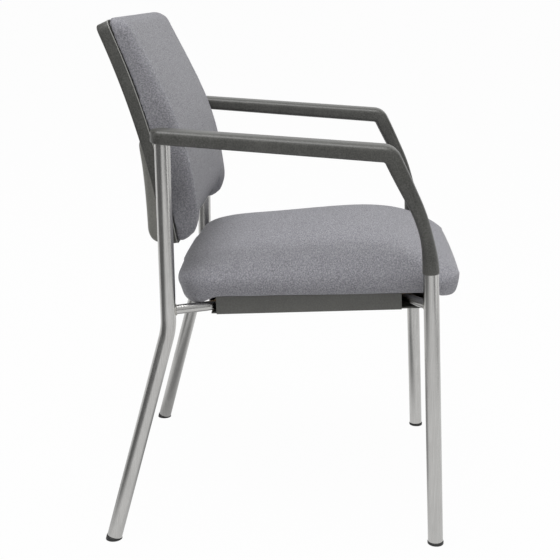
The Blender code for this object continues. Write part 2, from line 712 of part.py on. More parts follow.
def add_seat():
    half_x, half_y = SEAT_W / 2, SEAT_D / 2
    cushion = put("seat_cushion", pad_mesh("seat_cushion", seat_rim(), list(seat_levels())), FABRIC)
    cushion.matrix_world = SEAT_FRAME

    wide, deep = half_x - BOARD_INSET, half_y - BOARD_INSET
    board = put("seat_board", plate("seat_board", rounded_rectangle(wide, -deep, deep, BOARD_CORNER, 3),
                                    GAP, SEAT_BOARD_T), PLY)
    board.matrix_world = SEAT_FRAME
    wide, deep = wide + GAP * 2, deep + GAP * 2
    pocket = plate("seat_pocket", rounded_rectangle(wide, -deep, deep, BOARD_CORNER, 3), -SEAT_BOARD_T,
                   SEAT_BOARD_T + GAP * 2)
    room = put("seat_pocket", pocket, BLACK, cutters)
    room.matrix_world = SEAT_FRAME
    combine(cushion, room)

    more = GAP * 2
    recess = plate("shell_recess", rounded_rectangle(
        SHELL_HALF_W + more, -SHELL_FRONT - more, SHELL_REAR + more, SHELL_CORNER,
        far_corner=SHELL_CORNER_REAR), -SEAT_T, SHELL_RISE)
    room = put("shell_recess", recess, BLACK, cutters)
    room.matrix_world = SEAT_FRAME
    combine(cushion, room)
    for name, path in (("front_groove", front_cross_path()), ("rear_groove", rear_cross_path())):
        groove = sweep(name, path, CROSS_R + GAP * 2, CROSS_SMOOTH, True)
        combine(cushion, put(name, groove, BLACK, cutters))
    outline = rounded_rectangle(SHELL_HALF_W, -SHELL_FRONT, SHELL_REAR, SHELL_CORNER,
                                far_corner=SHELL_CORNER_REAR)
    lift = SHELL_RISE - GAP
    shell = put("seat_shell", tray("seat_shell", outline, lambda y: shell_floor(y) - lift), PLASTIC)
    shell.matrix_world = SEAT_FRAME @ Matrix.Translation((0, 0, lift))
    thicken(soften(shell, SHELL_EDGE), SHELL_WALL)
    room = put("board_room", plate("board_room", rounded_rectangle(wide, -deep, deep, BOARD_CORNER, 3),
                                   0, SEAT_BOARD_T), BLACK, cutters)
    room.matrix_world = SEAT_FRAME
    combine(shell, room)
    out = SHELL_HALF_W + SHELL_CORNER
    edge = SHELL_WALL + 1.5 * SHELL_EDGE
    far = SHELL_REAR + SHELL_CORNER
    low = min(shell_floor(-SHELL_FRONT), shell_floor(SHELL_REAR)) - SHELL_WALL
    for word, side in SIDES:
        for spot, inside, near, end in (("front", SHELL_HALF_W - edge, -FRONT_MOUTH[1], -FRONT_MOUTH[0]),
                                        ("rear", SHELL_HALF_W - edge, REAR_MOUTH, far),
                                        ("corner", REAR_MOUTH_X, SHELL_REAR - edge, far)):
            across = sorted((side * inside, side * out))
            combine(shell, block(f"mouth_{spot}_{word}", (across[0], near, low),
                                 (across[1], end, SEAT_BOARD_T), SEAT_FRAME))

    up = SEAT_FRAME.to_3x3() @ Vector((0, 0, 1))
    top = Vector((0, 0, SEAT_BOARD_T))
    for word, spot, _ in seat_bolt_spots():
        under = Vector((spot.x, spot.y, shell_floor(spot.y) - GAP))
        add_bolt("seat_bolt_" + word, SEAT_FRAME @ under, up, SEAT_BOARD_T - under.z - NUT_FLANGE_T)
        add_nut("seat_tnut_" + word, SEAT_FRAME @ (spot + top), up, SEAT_BOARD_T - GAP * 2)
        combine(board, nut_pocket("nut_pocket_" + word, SEAT_FRAME @ (spot + top), up, SEAT_BOARD_T))
        combine(shell, rod("shell_hole_" + word, SEAT_FRAME @ (under - top),
                           SEAT_FRAME @ (under + top), BOLT_R + FIT, sides=HOLE_SIDES))


# Back: modelled flat as (across, up along the back, forward) and bent to the back's curve


def back_place(u, v, f):
    """World place of a point on the back: across, up along the rim's curve, and forward of it."""
    turn = (BACK_RAKE_TOP - BACK_RAKE_LOW) / BACK_H
    rake = BACK_RAKE_LOW + turn * v
    y = behind(BACK_BACK) + (math.cos(BACK_RAKE_LOW) - math.cos(rake)) / turn
    z = BACK_LOW_Z + (math.sin(rake) - math.sin(BACK_RAKE_LOW)) / turn
    return Vector((u * (1 - BACK_TAPER * v / BACK_H), y - f * math.cos(rake), z + f * math.sin(rake)))


def back_forward(v):
    return (back_place(0, v, 1) - back_place(0, v, 0)).normalized()


def bent(name, flat):
    """A flat-modelled object cut into slices and bent to the back's curve."""
    bm = bmesh.new()
    bm.from_mesh(evaluated(flat))
    for i in range(1, BACK_SLICES):
        bmesh.ops.bisect_plane(bm, geom=bm.verts[:] + bm.edges[:] + bm.faces[:],
                               plane_co=(0, BACK_H * i / BACK_SLICES, 0), plane_no=(0, 1, 0))
    for v in bm.verts:
        v.co = back_place(*v.co)
    bmesh.ops.triangulate(bm, faces=bm.faces[:])
    return mesh_of(bm, name)


def pad_thickness(v):
    """Thickness of the back cushion: full at the lumbar bulge, thinner and rounded at both ends."""
    if v < LUMBAR_V:
        thick = BACK_PAD_LOW + (BACK_PAD_LUMBAR - BACK_PAD_LOW) * blend(v / LUMBAR_V)
    else:
        t = blend((v - LUMBAR_V) / (BACK_H - LUMBAR_V))
        thick = BACK_PAD_LUMBAR + (BACK_PAD_TOP - BACK_PAD_LUMBAR) * t
    for end, reach in ((BACK_H - v, BACK_TOP_ROUND), (v - BACK_PAD_RISE, BACK_LOW_ROUND)):
        t = min(max(1 - end / reach, 0.0), 1.0)
        thick *= 0.15 + 0.85 * math.sqrt(1 - t * t)
    return thick


def bar_bolt_spots():
    for row, lift in (("lower", -BAR_BOLT_V), ("upper", BAR_BOLT_V)):
        for word, side in SIDES:
            yield f"{row}_{word}", side * BAR_BOLT_X, BAR_V + lift


def add_post(thing, name, u, v, start, shoulder, pin_end):
    """Joins a clip post with a pin at its tip to a shell that is still flat."""
    post = rod(name, (u, v, start), (u, v, shoulder), POST_R, sides=HOLE_SIDES)
    combine(thing, post, "UNION")
    pin = rod(name + "_pin", (u, v, start), (u, v, pin_end), PIN_R, sides=10)
    combine(thing, pin, "UNION")


def back_levels():
    """Loops of the back cushion, from its rear face round the sides and over the front."""
    half_x = BACK_W / 2

    def level(draw, share):
        def place(u, v):
            rise = blend((half_x - abs(u) - BACK_ARCH_END) / BACK_ARCH_RUN)
            arch = BACK_ARCH * rise * (1 - v / BACK_H) ** 2
            crown = BACK_CROWN * (1 - (1 - draw) ** 2) * share
            return back_place(u, v + arch, GAP + (pad_thickness(v) + crown) * share)
        return draw, place

    for draw in (0.7, 0.4, 0.2, 2 * PAN_FLANGE / BACK_W):
        yield level(draw, 0.0)
    for share in (0.0, 0.5 * BACK_WALL, BACK_WALL):
        yield level(0.0, share)
    edge = BACK_EDGE / half_x
    for i in range(1, 5):
        turn = math.pi / 2 * i / 4
        yield level(edge * (1 - math.cos(turn)), BACK_WALL + (1 - BACK_WALL) * math.sin(turn))
    for draw in (0.09, 0.2, 0.42, 0.7):
        yield level(draw, 1.0)


def add_back_pad():
    half_x = BACK_W / 2
    rim = spaced(rounded_rectangle(half_x, BACK_PAD_RISE, BACK_H, BACK_CORNER_LOW, 6, BACK_CORNER), PAD_STEP)
    cushion = put("back_cushion", pad_mesh("back_cushion", rim, list(back_levels())), FABRIC)

    wide = half_x - BOARD_INSET
    flat = put("back_board", plate("back_board", rounded_rectangle(
        wide, BOARD_INSET, BACK_H - BOARD_INSET, BOARD_CORNER, 3), GAP, BACK_BOARD_T), PLY)
    for i, (u, v) in enumerate(PAN_POSTS):
        for word, side in SIDES:
            combine(flat, rod(f"pin_hole_{i}_{word}", (side * u, v, -PIN_L), (side * u, v, PIN_L + GAP * 2),
                              PIN_R + FIT, sides=HOLE_SIDES))
    board = put("back_board", bent("back_board", flat), PLY)
    more = GAP * 2
    flat = put("back_pocket", plate("back_pocket", rounded_rectangle(
        wide + more, BOARD_INSET - more, BACK_H - BOARD_INSET + more, BOARD_CORNER, 3), -BACK_BOARD_T,
        BACK_BOARD_T + more), BLACK)
    combine(cushion, put("back_pocket", bent("back_pocket", flat), BLACK, cutters))
    return board


def add_bracket(board):
    """Flat steel bar between the uprights, and the bolts that hold the back board to it."""
    forward = back_forward(BAR_V)
    frame = Matrix.Translation(back_place(0, BAR_V, 0)) @ Matrix.Rotation(-BACK_RAKE_AT_BAR, 4, "X")
    near = -GAP * 2
    end = upright(1, back_place(0, BAR_V, 0).z - BAR_H / 2).x
    bar = block("back_bracket_bar", (-end, near - BAR_T, -BAR_H / 2), (end, near, BAR_H / 2),
                frame @ Matrix.Rotation(math.pi, 4, "Z"), STEEL, chair)
    level_z = back_place(0, BAR_V, 0).z
    for word, side in SIDES:
        combine(bar, rod("bar_cope_" + word, upright(side, level_z - BAR_H), upright(side, level_z + BAR_H),
                         TUBE_R + GAP))
    behind_bar = BAR_T + GAP * 3
    for word, u, v in bar_bolt_spots():
        level = back_place(u, BAR_V, 0) + (frame.to_3x3() @ Vector((0, 0, v - BAR_V)))
        head = level - forward * behind_bar
        add_bolt("back_bolt_" + word, head, forward, behind_bar + BACK_BOARD_T - NUT_FLANGE_T)
        combine(bar, rod("bar_hole_" + word, head - forward * BAR_T, level + forward * BAR_T,
                         BOLT_R + FIT, sides=HOLE_SIDES))
        face = level + forward * BACK_BOARD_T
        add_nut("back_tnut_" + word, face, forward, BACK_BOARD_T - GAP * 4)
        combine(board, nut_pocket("back_nut_pocket_" + word, face, forward, BACK_BOARD_T))
    for word, side in SIDES:
        level = back_place(side * COVER_POST_X, BAR_V, 0)
        combine(bar, rod("clip_hole_" + word, level - forward * 2 * BAR_T, level + forward * BAR_T,
                         PIN_R + FIT, sides=HOLE_SIDES))


def hatch_outline(more=0.0):
    edge = COVER_HATCH - more
    return rounded_rectangle(COVER_HALF_W - edge, COVER_LOW + edge, COVER_TOP - edge, COVER_CORNER / 2)


def add_pan():
    """Back shell: a pan behind the cushion, with a hatch over the bracket."""
    outline = rounded_rectangle(BACK_W / 2, 0, PAN_H, PAN_CORNER)
    flat = put("back_shell", tray("back_shell", outline, lambda v: -PAN_D), PLASTIC)
    thicken(soften(flat, PAN_EDGE), SHELL_WALL)
    rim = put("pan_rim", plate("pan_rim", rounded_rectangle(
        BACK_W / 2 - SHELL_WALL / 2, SHELL_WALL / 2, PAN_H - SHELL_WALL / 2, PAN_CORNER), -SHELL_WALL, 0),
        BLACK, cutters)
    inner = PAN_FLANGE
    mouth = put("pan_mouth", plate("pan_mouth", rounded_rectangle(
        BACK_W / 2 - inner, inner, PAN_H - inner, PAN_CORNER), -2 * SHELL_WALL, SHELL_WALL), BLACK, cutters)
    combine(flat, combine(rim, mouth), "UNION")
    hatch = plate("hatch", hatch_outline(), -2 * PAN_D, -PAN_D / 2)
    combine(flat, put("hatch", hatch, BLACK, cutters))
    slot = BAR_H / 2 + GAP * 4
    combine(flat, block("bar_slot", (-BACK_W, BAR_V - slot, -BAR_T - GAP * 8), (BACK_W, BAR_V + slot, BAR_T)))
    inner = -PAN_D + SHELL_WALL / 2
    for i, (u, v) in enumerate(PAN_POSTS):
        for word, side in SIDES:
            add_post(flat, f"pan_post_{i}_{word}", side * u, v, inner, -GAP, PIN_L)
    put("back_shell", bent("back_shell", flat), PLASTIC)


def cover_rise(v):
    """Depth of the cover behind the shell: a wedge whose lower end curves in to a lip."""
    t = (v - COVER_LOW) / (COVER_TOP - COVER_LOW)
    rise = COVER_RISE_LOW + (COVER_RISE_TOP - COVER_RISE_LOW) * t
    past = 1 - min((v - COVER_LOW) / COVER_ROUND, 1.0)
    return COVER_LIP + (rise - COVER_LIP) * math.sqrt(1 - past ** 2)


def cover_section(v, rise):
    """Points across the cover at a height: side, rounding, flat back, rounding and side."""
    near_end = min(v - COVER_LOW, COVER_TOP - v)
    past = max(0.0, 1 - near_end / COVER_CORNER)
    half = COVER_HALF_W - COVER_CORNER * (1 - math.sqrt(1 - past ** 2))
    round_r = min(COVER_SIDE, 0.9 * rise)
    right = [(-half, 0.0)]
    for i in range(4):
        turn = math.pi / 2 * i / 3
        right.append((round_r * (1 - math.cos(turn)) - half, round_r * (1 - math.sin(turn)) - rise))
    return right + [(-u, f) for u, f in reversed(right)]


def add_cover():
    """Lower rear cover: a wedge-shaped lid clipped over the hatch."""
    stations = [(COVER_LOW, 0.0)]
    for i in range(5):
        v = COVER_LOW + COVER_ROUND * (1 - math.cos(math.pi / 2 * i / 4))
        stations.append((v, cover_rise(v)))
    for v in (0.5 * (COVER_ROUND + COVER_TOP), COVER_TOP - COVER_CORNER, COVER_TOP - 0.3 * COVER_CORNER,
              COVER_TOP):
        stations.append((v, cover_rise(v)))
    stations.append((COVER_TOP, 0.0))
    bm = bmesh.new()
    rows = [[bm.verts.new((u, v, f)) for u, f in cover_section(v, rise)] for v, rise in stations]
    for first, second in zip(rows, rows[1:]):
        for i in range(len(first) - 1):
            bm.faces.new((first[i], second[i], second[i + 1], first[i + 1]))
    bmesh.ops.remove_doubles(bm, verts=bm.verts[:], dist=1e-6)
    bmesh.ops.dissolve_degenerate(bm, edges=bm.edges[:], dist=1e-6)
    bmesh.ops.recalc_face_normals(bm, faces=bm.faces[:])
    middle = min(bm.faces, key=lambda face: face.calc_center_median().z)
    if middle.normal.z > 0:
        bmesh.ops.reverse_faces(bm, faces=bm.faces[:])
    mesh = bpy.data.meshes.new("back_cover")
    bm.to_mesh(mesh)
    bm.free()
    start = -PAN_D - GAP
    flat = put("back_cover", mesh, PLASTIC)
    flat.location.z = start
    thicken(flat, COVER_WALL)
    tip = -BAR_T - GAP * 4
    for word, side in SIDES:
        inner = start - cover_rise(BAR_V) + COVER_WALL / 2
        add_post(flat, "cover_post_" + word, side * COVER_POST_X, BAR_V, inner, tip, tip + BAR_T * 0.8)
    put("back_cover", bent("back_cover", flat), PLASTIC)


# Arms


def arm_crown_z(back):
    return ARM_HEIGHT + (back - UPRIGHT_BACK) * ARM_FALL


def arm_section(middle, tangent, half_w, half_t, square_top, square_low, points=16):
    """One loft section: a rounded shape square to the path, softer on top than underneath."""
    up = tangent.cross(X_AXIS).normalized()
    ring = []
    for i in range(points):
        angle = 2 * math.pi * (i + 0.5) / points
        c, s = math.cos(angle), math.sin(angle)
        power = 2 / (square_top if s > 0 else square_low)
        side = math.copysign(abs(c) ** power, c) * half_w
        rise = math.copysign(abs(s) ** power, s) * half_t
        ring.append(middle + X_AXIS * side + up * rise)
    return ring


def arm_sections(side):
    """Sections from the tail, along the arm, round the knee and down the limb to its spigot."""
    foot = front_axis(side, FRONT_TOP_Z)
    elbow = front_axis(side, FRONT_TOP_Z + LIMB_RISE)
    knee_z = arm_crown_z(KNEE_BACK) - ARM_T / 2
    knee = Vector((side * FRONT_X, behind(KNEE_BACK), knee_z))
    tail_back = UPRIGHT_BACK + ARM_TAIL
    tail = upright(side, arm_crown_z(tail_back) - ARM_T_REAR / 2)
    tail.y = behind(tail_back)
    path = filleted([tail, knee, elbow, foot], [KNEE_R, LIMB_R], 7)

    reach = [0.0]
    for first, second in zip(path, path[1:]):
        reach.append(reach[-1] + (second - first).length)
    total = reach[-1]
    arm_end = (knee - tail).length - KNEE_R
    round_r = TUBE_R + SOCKET_LIP
    stations = [0.0003, 0.0012, 0.0035, 0.007, 0.011, 0.016]
    stations += [arm_end * t for t in (0.35, 0.7)] + [r for r in reach[1:-1]]
    stations += [total - WAIST * t for t in (1.0, 0.8, 0.6, 0.4, 0.2)]
    rings = []
    last = -1.0
    for s in sorted(stations) + [total]:
        if s - last < 0.0025 and s > 0.02:
            continue
        last = s
        k = next(i for i in range(1, len(reach)) if s <= reach[i] + 1e-9)
        t = (s - reach[k - 1]) / (reach[k] - reach[k - 1])
        middle = path[k - 1].lerp(path[k], t)
        tangent = arm_tangent(path, reach, s)
        left = total - s
        width, thick, top, low = arm_form(s, arm_end, left)
        cap = math.sqrt(max(0.0, 1 - (1 - min(s / 0.016, 1)) ** 2))
        edge = 0.62 + 0.38 * cap
        rings.append(arm_section(middle, tangent, width / 2 * cap, thick / 2 * edge, top, low))
    down = (front_axis(side, 0) - front_axis(side, 1)).normalized()
    slim = TUBE_R - TUBE_WALL - GAP * 2
    lead = 0.002
    rings[-1] = arm_section(foot - down * GAP, down, round_r, round_r, 2, 2)
    for drop, radius in ((-GAP, slim), (SPIGOT - lead, slim), (SPIGOT, slim - lead)):
        rings.append(arm_section(foot + down * drop, down, radius, radius, 2, 2))
    return rings


def arm_tangent(path, reach, s):
    """Direction of the arm's path, smoothed over a short stretch."""
    def at(d):
        d = min(max(d, 0.0), reach[-1])
        k = next(i for i in range(1, len(reach)) if d <= reach[i] + 1e-9)
        t = (d - reach[k - 1]) / (reach[k] - reach[k - 1])
        return path[k - 1].lerp(path[k], t)
    step = 0.003
    flat = at(s + step) - at(s - step)
    flat.x = 0
    return flat.normalized()


def arm_form(s, arm_end, left):
    """Width, thickness and squareness of the arm at a distance along it, with left still to go."""
    if s < arm_end:
        t = s / arm_end
        return ARM_W, ARM_T_REAR + (ARM_T - ARM_T_REAR) * t, 2.7, 5.0
    round_d = 2 * (TUBE_R + SOCKET_LIP)
    limb = arm_limb_length()
    if left > WAIST:
        t = blend((left - WAIST) / (limb - WAIST))
        return LIMB_W + (ARM_W - LIMB_W) * t, LIMB_T + (ARM_T - LIMB_T) * t, 2.4 + 0.3 * t, 2.8 + 2.2 * t
    t = blend(left / WAIST)
    return round_d + (LIMB_W - round_d) * t, round_d + (LIMB_T - round_d) * t, 2 + 0.4 * t, 2 + 0.8 * t


def arm_limb_length():
    elbow = front_axis(1, FRONT_TOP_Z + LIMB_RISE)
    knee = Vector((FRONT_X, behind(KNEE_BACK), arm_crown_z(KNEE_BACK) - ARM_T / 2))
    return (knee - elbow).length + LIMB_RISE - KNEE_R


def add_arm(word, side):
    bm = bmesh.new()
    rings = [[bm.verts.new(p) for p in ring] for ring in arm_sections(side)]
    for first, second in zip(rings, rings[1:]):
        for i in range(len(first)):
            j = (i + 1) % len(first)
            bm.faces.new((first[i], first[j], second[j], second[i]))
    bm.faces.new(rings[0])
    bm.faces.new(rings[-1])
    arm = put("armrest_" + word, mesh_of(bm, "armrest_" + word), PLASTIC)
    combine(arm, rod("arm_socket_" + word, upright(side, UPRIGHT_TOP_Z - 2 * ARM_T),
                     upright(side, UPRIGHT_TOP_Z + GAP * 2), TUBE_R + FIT))

    inward = Vector((-side, 0, 0))
    level = upright(side, (UPRIGHT_TOP_Z + ARM_HEIGHT - ARM_T_REAR) / 2)
    seat = level + inward * (TUBE_R + FIT + GAP + (ARM_W / 2 - TUBE_R) / 3)
    combine(arm, rod("rear_screw_bore_" + word, level, seat + inward * ARM_W, ARM_SCREW_R + FIT,
                     sides=HOLE_SIDES))
    combine(arm, rod("rear_screw_head_" + word, seat - inward * GAP, seat + inward * ARM_W,
                     ARM_SCREW_HEAD + FIT, sides=16))
    add_arm_screw("arm_screw_rear_" + word, seat, -inward, (seat - level).length - TUBE_R / 3)

    spot = front_axis(side, FRONT_TOP_Z - ARM_SCREW_DROP)
    seat = spot + inward * (TUBE_R + GAP)
    grip = TUBE_R + TUBE_R / 3
    combine(arm, rod("front_screw_bore_" + word, seat, seat - inward * (grip + GAP * 3),
                     ARM_SCREW_R + GAP * 2, sides=HOLE_SIDES))
    add_arm_screw("arm_screw_front_" + word, seat, -inward, grip)


def add_arm_screw(name, seat, axis, grip):
    head = ARM_SCREW_HEAD
    profile = [(0, grip), (ARM_SCREW_R, grip), (ARM_SCREW_R, 0), (head, 0), (head, -0.3 * head),
               (0.7 * head, -0.55 * head), (0, -0.55 * head)]
    return turned(name, profile, along(seat, axis), ZINC, 10)


BACK_RAKE_AT_BAR = BACK_RAKE_LOW + (BACK_RAKE_TOP - BACK_RAKE_LOW) * BAR_V / BACK_H

add_legs()
add_cross_tubes()
add_seat()
add_bracket(add_back_pad())
add_pan()
add_cover()
for arm_word, arm_side in SIDES:
    add_arm(arm_word, arm_side)
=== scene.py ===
"""Looks of the four-leg visitor armchair: cushions, frame, mouldings, materials, studio and camera.

Metres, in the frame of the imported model: +Z up, the chair faces -Y, sitter's right hand at -X.
"""
import json
import math

import bmesh
import bpy
import numpy as np
from mathutils import Matrix, Vector
from mathutils.bvhtree import BVHTree

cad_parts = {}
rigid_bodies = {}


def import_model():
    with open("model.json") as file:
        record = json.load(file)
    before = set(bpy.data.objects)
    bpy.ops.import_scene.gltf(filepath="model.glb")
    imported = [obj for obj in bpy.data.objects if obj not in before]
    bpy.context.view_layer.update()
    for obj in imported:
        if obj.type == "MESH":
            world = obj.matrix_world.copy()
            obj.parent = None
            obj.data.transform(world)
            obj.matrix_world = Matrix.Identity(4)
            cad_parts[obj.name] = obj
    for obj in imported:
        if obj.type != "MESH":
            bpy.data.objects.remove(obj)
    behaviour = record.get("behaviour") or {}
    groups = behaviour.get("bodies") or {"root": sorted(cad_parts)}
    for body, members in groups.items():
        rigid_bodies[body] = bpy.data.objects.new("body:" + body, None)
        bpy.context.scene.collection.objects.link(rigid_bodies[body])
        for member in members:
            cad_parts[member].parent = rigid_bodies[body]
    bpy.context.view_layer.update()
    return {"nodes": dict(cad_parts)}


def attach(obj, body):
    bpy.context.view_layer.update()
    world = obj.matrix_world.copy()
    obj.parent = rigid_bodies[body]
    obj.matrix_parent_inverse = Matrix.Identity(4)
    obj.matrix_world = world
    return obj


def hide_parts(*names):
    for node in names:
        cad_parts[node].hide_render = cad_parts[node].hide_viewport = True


for old in list(bpy.data.objects):
    bpy.data.objects.remove(old, do_unlink=True)
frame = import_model()

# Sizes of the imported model, except BACK_CORNER and LIMB_T, which are nearer to the photo
GAP = 0.0003
FIT = 0.0005
TUBE_R = 0.0125
TUBE_WALL = 0.002
CROSS_R = 0.0078
CROSS_WALL = 0.0018
SHELL_WALL = 0.0026
FRONT_FOOT_Y = -0.2597

SEAT_W, SEAT_D = 0.470, 0.467
SEAT_T, SEAT_EDGE_T, SEAT_SHOULDER = 0.0855, 0.0528, 0.0446
SEAT_BULGE, SEAT_BULGE_REAR, SEAT_CREST = 0.0242, 0.0115, 0.0658
SEAT_FALL_FRONT, SEAT_FALL_REAR = 0.90, 0.65
SEAT_BACK, SEAT_Z = 0.2005, 0.4148
SEAT_TILT = math.radians(2.0)
SEAT_CORNER, SEAT_CORNER_REAR = 0.0755, 0.0565
SEAT_BOW_FRONT, SEAT_BOW_REAR = 0.0054, 0.0102
SEAT_TUCK, SEAT_RIM = 0.0147, 0.0023
SEAT_LIP_FRONT, SEAT_LIP_REAR, SEAT_LIP_START = 0.0213, 0.0150, 0.0735
SEAT_LIP_REACH, SEAT_LIP_REACH_REAR = 0.0735, 0.040
SEAT_BOARD_T = 0.012
BOARD_INSET, BOARD_CORNER = 0.036, 0.030

FRONT_LEAN = math.radians(3.0)
FRONT_TOP_Z = 0.464
FRONT_X = 0.254
UPRIGHT_X, UPRIGHT_BACK = 0.2385, 0.440
UPRIGHT_FLARE = math.radians(2.7)
REAR_FOOT_BACK, REAR_FOOT_SPLAY = 0.5378, 0.0291
BEND_R = 0.120
GLIDE_H, GLIDE_LIP, GLIDE_PLUG = 0.0050, 0.0009, 0.018

FRONT_CROSS_BACK, FRONT_CROSS_RUN, FRONT_CROSS_BEND = 0.0625, 0.060, 0.026
REAR_CROSS_BACK, REAR_CROSS_RUN, REAR_CROSS_BEND = 0.3605, 0.037, 0.040
FRONT_SADDLE_T, REAR_SADDLE_T = 0.0015, 0.0086
BEND_DROP = 0.0300
SADDLE_X, SADDLE_GRIP = 0.130, 0.0045

SHELL_HALF_W, SHELL_FRONT = 0.219, 0.195
SHELL_REAR = REAR_CROSS_BACK - SEAT_BACK + CROSS_R + SADDLE_GRIP + 0.008 + SHELL_WALL
SHELL_CORNER, SHELL_CORNER_REAR, SHELL_EDGE = 0.028, 0.018, 0.004
SHELL_RISE, SHELL_ROOM_FRONT, SHELL_ROOM_REAR = 0.0020, 0.0065, 0.0022
FRONT_MOUTH = (0.134, 0.186)
REAR_MOUTH, REAR_MOUTH_X = 0.165, 0.165

BACK_W, BACK_H, BACK_TAPER = 0.432, 0.366, 0.065
BACK_BACK, BACK_LOW_Z = 0.4258, 0.496
BACK_RAKE_LOW, BACK_RAKE_TOP = math.radians(9.0), math.radians(24.2)
BACK_TURN = (BACK_RAKE_TOP - BACK_RAKE_LOW) / BACK_H
BACK_PAD_LOW, BACK_PAD_LUMBAR, BACK_PAD_TOP = 0.036, 0.0425, 0.0245
LUMBAR_V, BACK_CROWN = 0.140, 0.0045
BACK_TOP_ROUND, BACK_LOW_ROUND = 0.024, 0.050
BACK_ARCH, BACK_ARCH_END, BACK_ARCH_RUN = 0.018, 0.024, 0.050
BACK_PAD_RISE, BACK_CORNER, BACK_CORNER_LOW = 0.001, 0.027, 0.024
BACK_EDGE, BACK_WALL = 0.009, 0.60
BACK_BOARD_T = 0.010
PAN_D, PAN_H, PAN_CORNER, PAN_EDGE, PAN_FLANGE = 0.0205, 0.3645, 0.014, 0.0035, 0.016
BAR_V, BAR_H, BAR_T = 0.088, 0.050, 0.005
COVER_HALF_W, COVER_LOW, COVER_TOP = 0.208, 0.002, 0.171
COVER_RISE_TOP, COVER_RISE_LOW, COVER_LIP = 0.0040, 0.0290, 0.0030
COVER_ROUND, COVER_SIDE, COVER_CORNER, COVER_WALL = 0.032, 0.009, 0.012, 0.002
COVER_HATCH = 0.024

ARM_W, ARM_T_REAR, ARM_T = 0.045, 0.0235, 0.0262
ARM_HEIGHT, ARM_FALL, ARM_TAIL = 0.686, 0.0625, 0.018
KNEE_BACK, KNEE_R = 0.0927, 0.018
LIMB_RISE, LIMB_R, LIMB_W, LIMB_T, WAIST = 0.061, 0.30, 0.034, 0.0205, 0.066
SOCKET_LIP, SPIGOT = 0.0006, 0.040
UPRIGHT_TOP_Z = 0.680

# Sizes and settings of the looks alone
GLIDE_ROUND, SOLE_ROUND = 0.0012, 0.0007
WELD_R, WELD_RIPPLE, WELD_RIPPLES = 0.0017, 0.16, 15
BEAD_R, BEAD_F, BEAD_STEP = 0.0008, -0.0007, 0.006
SEAM_R, SEAM_STEPS, SEAM_SINK, SEAM_SINK_ENDS, SEAM_FADE = 0.0018, 110, 0.35, 0.77, 8
SEAM_LOW, SEAM_TOP, SEAM_INSET_LOW, SEAM_INSET_TOP = 0.012, 0.354, 0.011, 0.026
RIM_STEP, SMOOTHING = 0.008, 10
SEAT_VOXEL, SEAT_SHRINK, SEAT_SWELL, SEAT_FREE = 0.006, 0.004, 0.0025, 0.02
SEAT_FULLER, SEAT_FULLER_REAR, FULLER_Z, FULLER_REACH = 0.0026, 0.0034, 0.043, 0.027
BACK_VOXEL, BACK_SHRINK, BACK_SWELL, BACK_FREE = 0.0045, 0.003, 0.0015, 0.012
CLOTH = {"quality": 6, "mass": 0.25, "tension_stiffness": 18, "compression_stiffness": 18,
         "shear_stiffness": 8, "bending_stiffness": 2.0, "use_pressure": True, "uniform_pressure_force": 4.0}
CLOTH_FRAMES = 20

SCENE = bpy.context.scene
SIDES = (("right", -1), ("left", 1))
X_AXIS, Z_AXIS = Vector((1, 0, 0)), Vector((0, 0, 1))


def behind(distance):
    """Y of a place this far behind the front feet."""
    return FRONT_FOOT_Y + distance


def seat_plane_z(back):
    return SEAT_Z - (back - SEAT_BACK) * math.tan(SEAT_TILT)


SEAT_FRAME = Matrix.Translation((0, behind(SEAT_BACK), SEAT_Z)) @ Matrix.Rotation(-SEAT_TILT, 4, "X")
FRONT_CROSS_Z = seat_plane_z(FRONT_CROSS_BACK) - FRONT_SADDLE_T - CROSS_R
REAR_CROSS_Z = seat_plane_z(REAR_CROSS_BACK) - REAR_SADDLE_T - CROSS_R
BEND_Z = REAR_CROSS_Z - BEND_DROP


def quarter(steps, first=0):
    """Angles of a quarter turn, in even steps."""
    return [math.pi / 2 * i / steps for i in range(first, steps + 1)]


def assign(thing, settings):
    for key, value in settings.items():
        setattr(thing, key, value)


def blend(t):
    t = min(max(t, 0.0), 1.0)
    return t * t * (3 - 2 * t)


# Materials


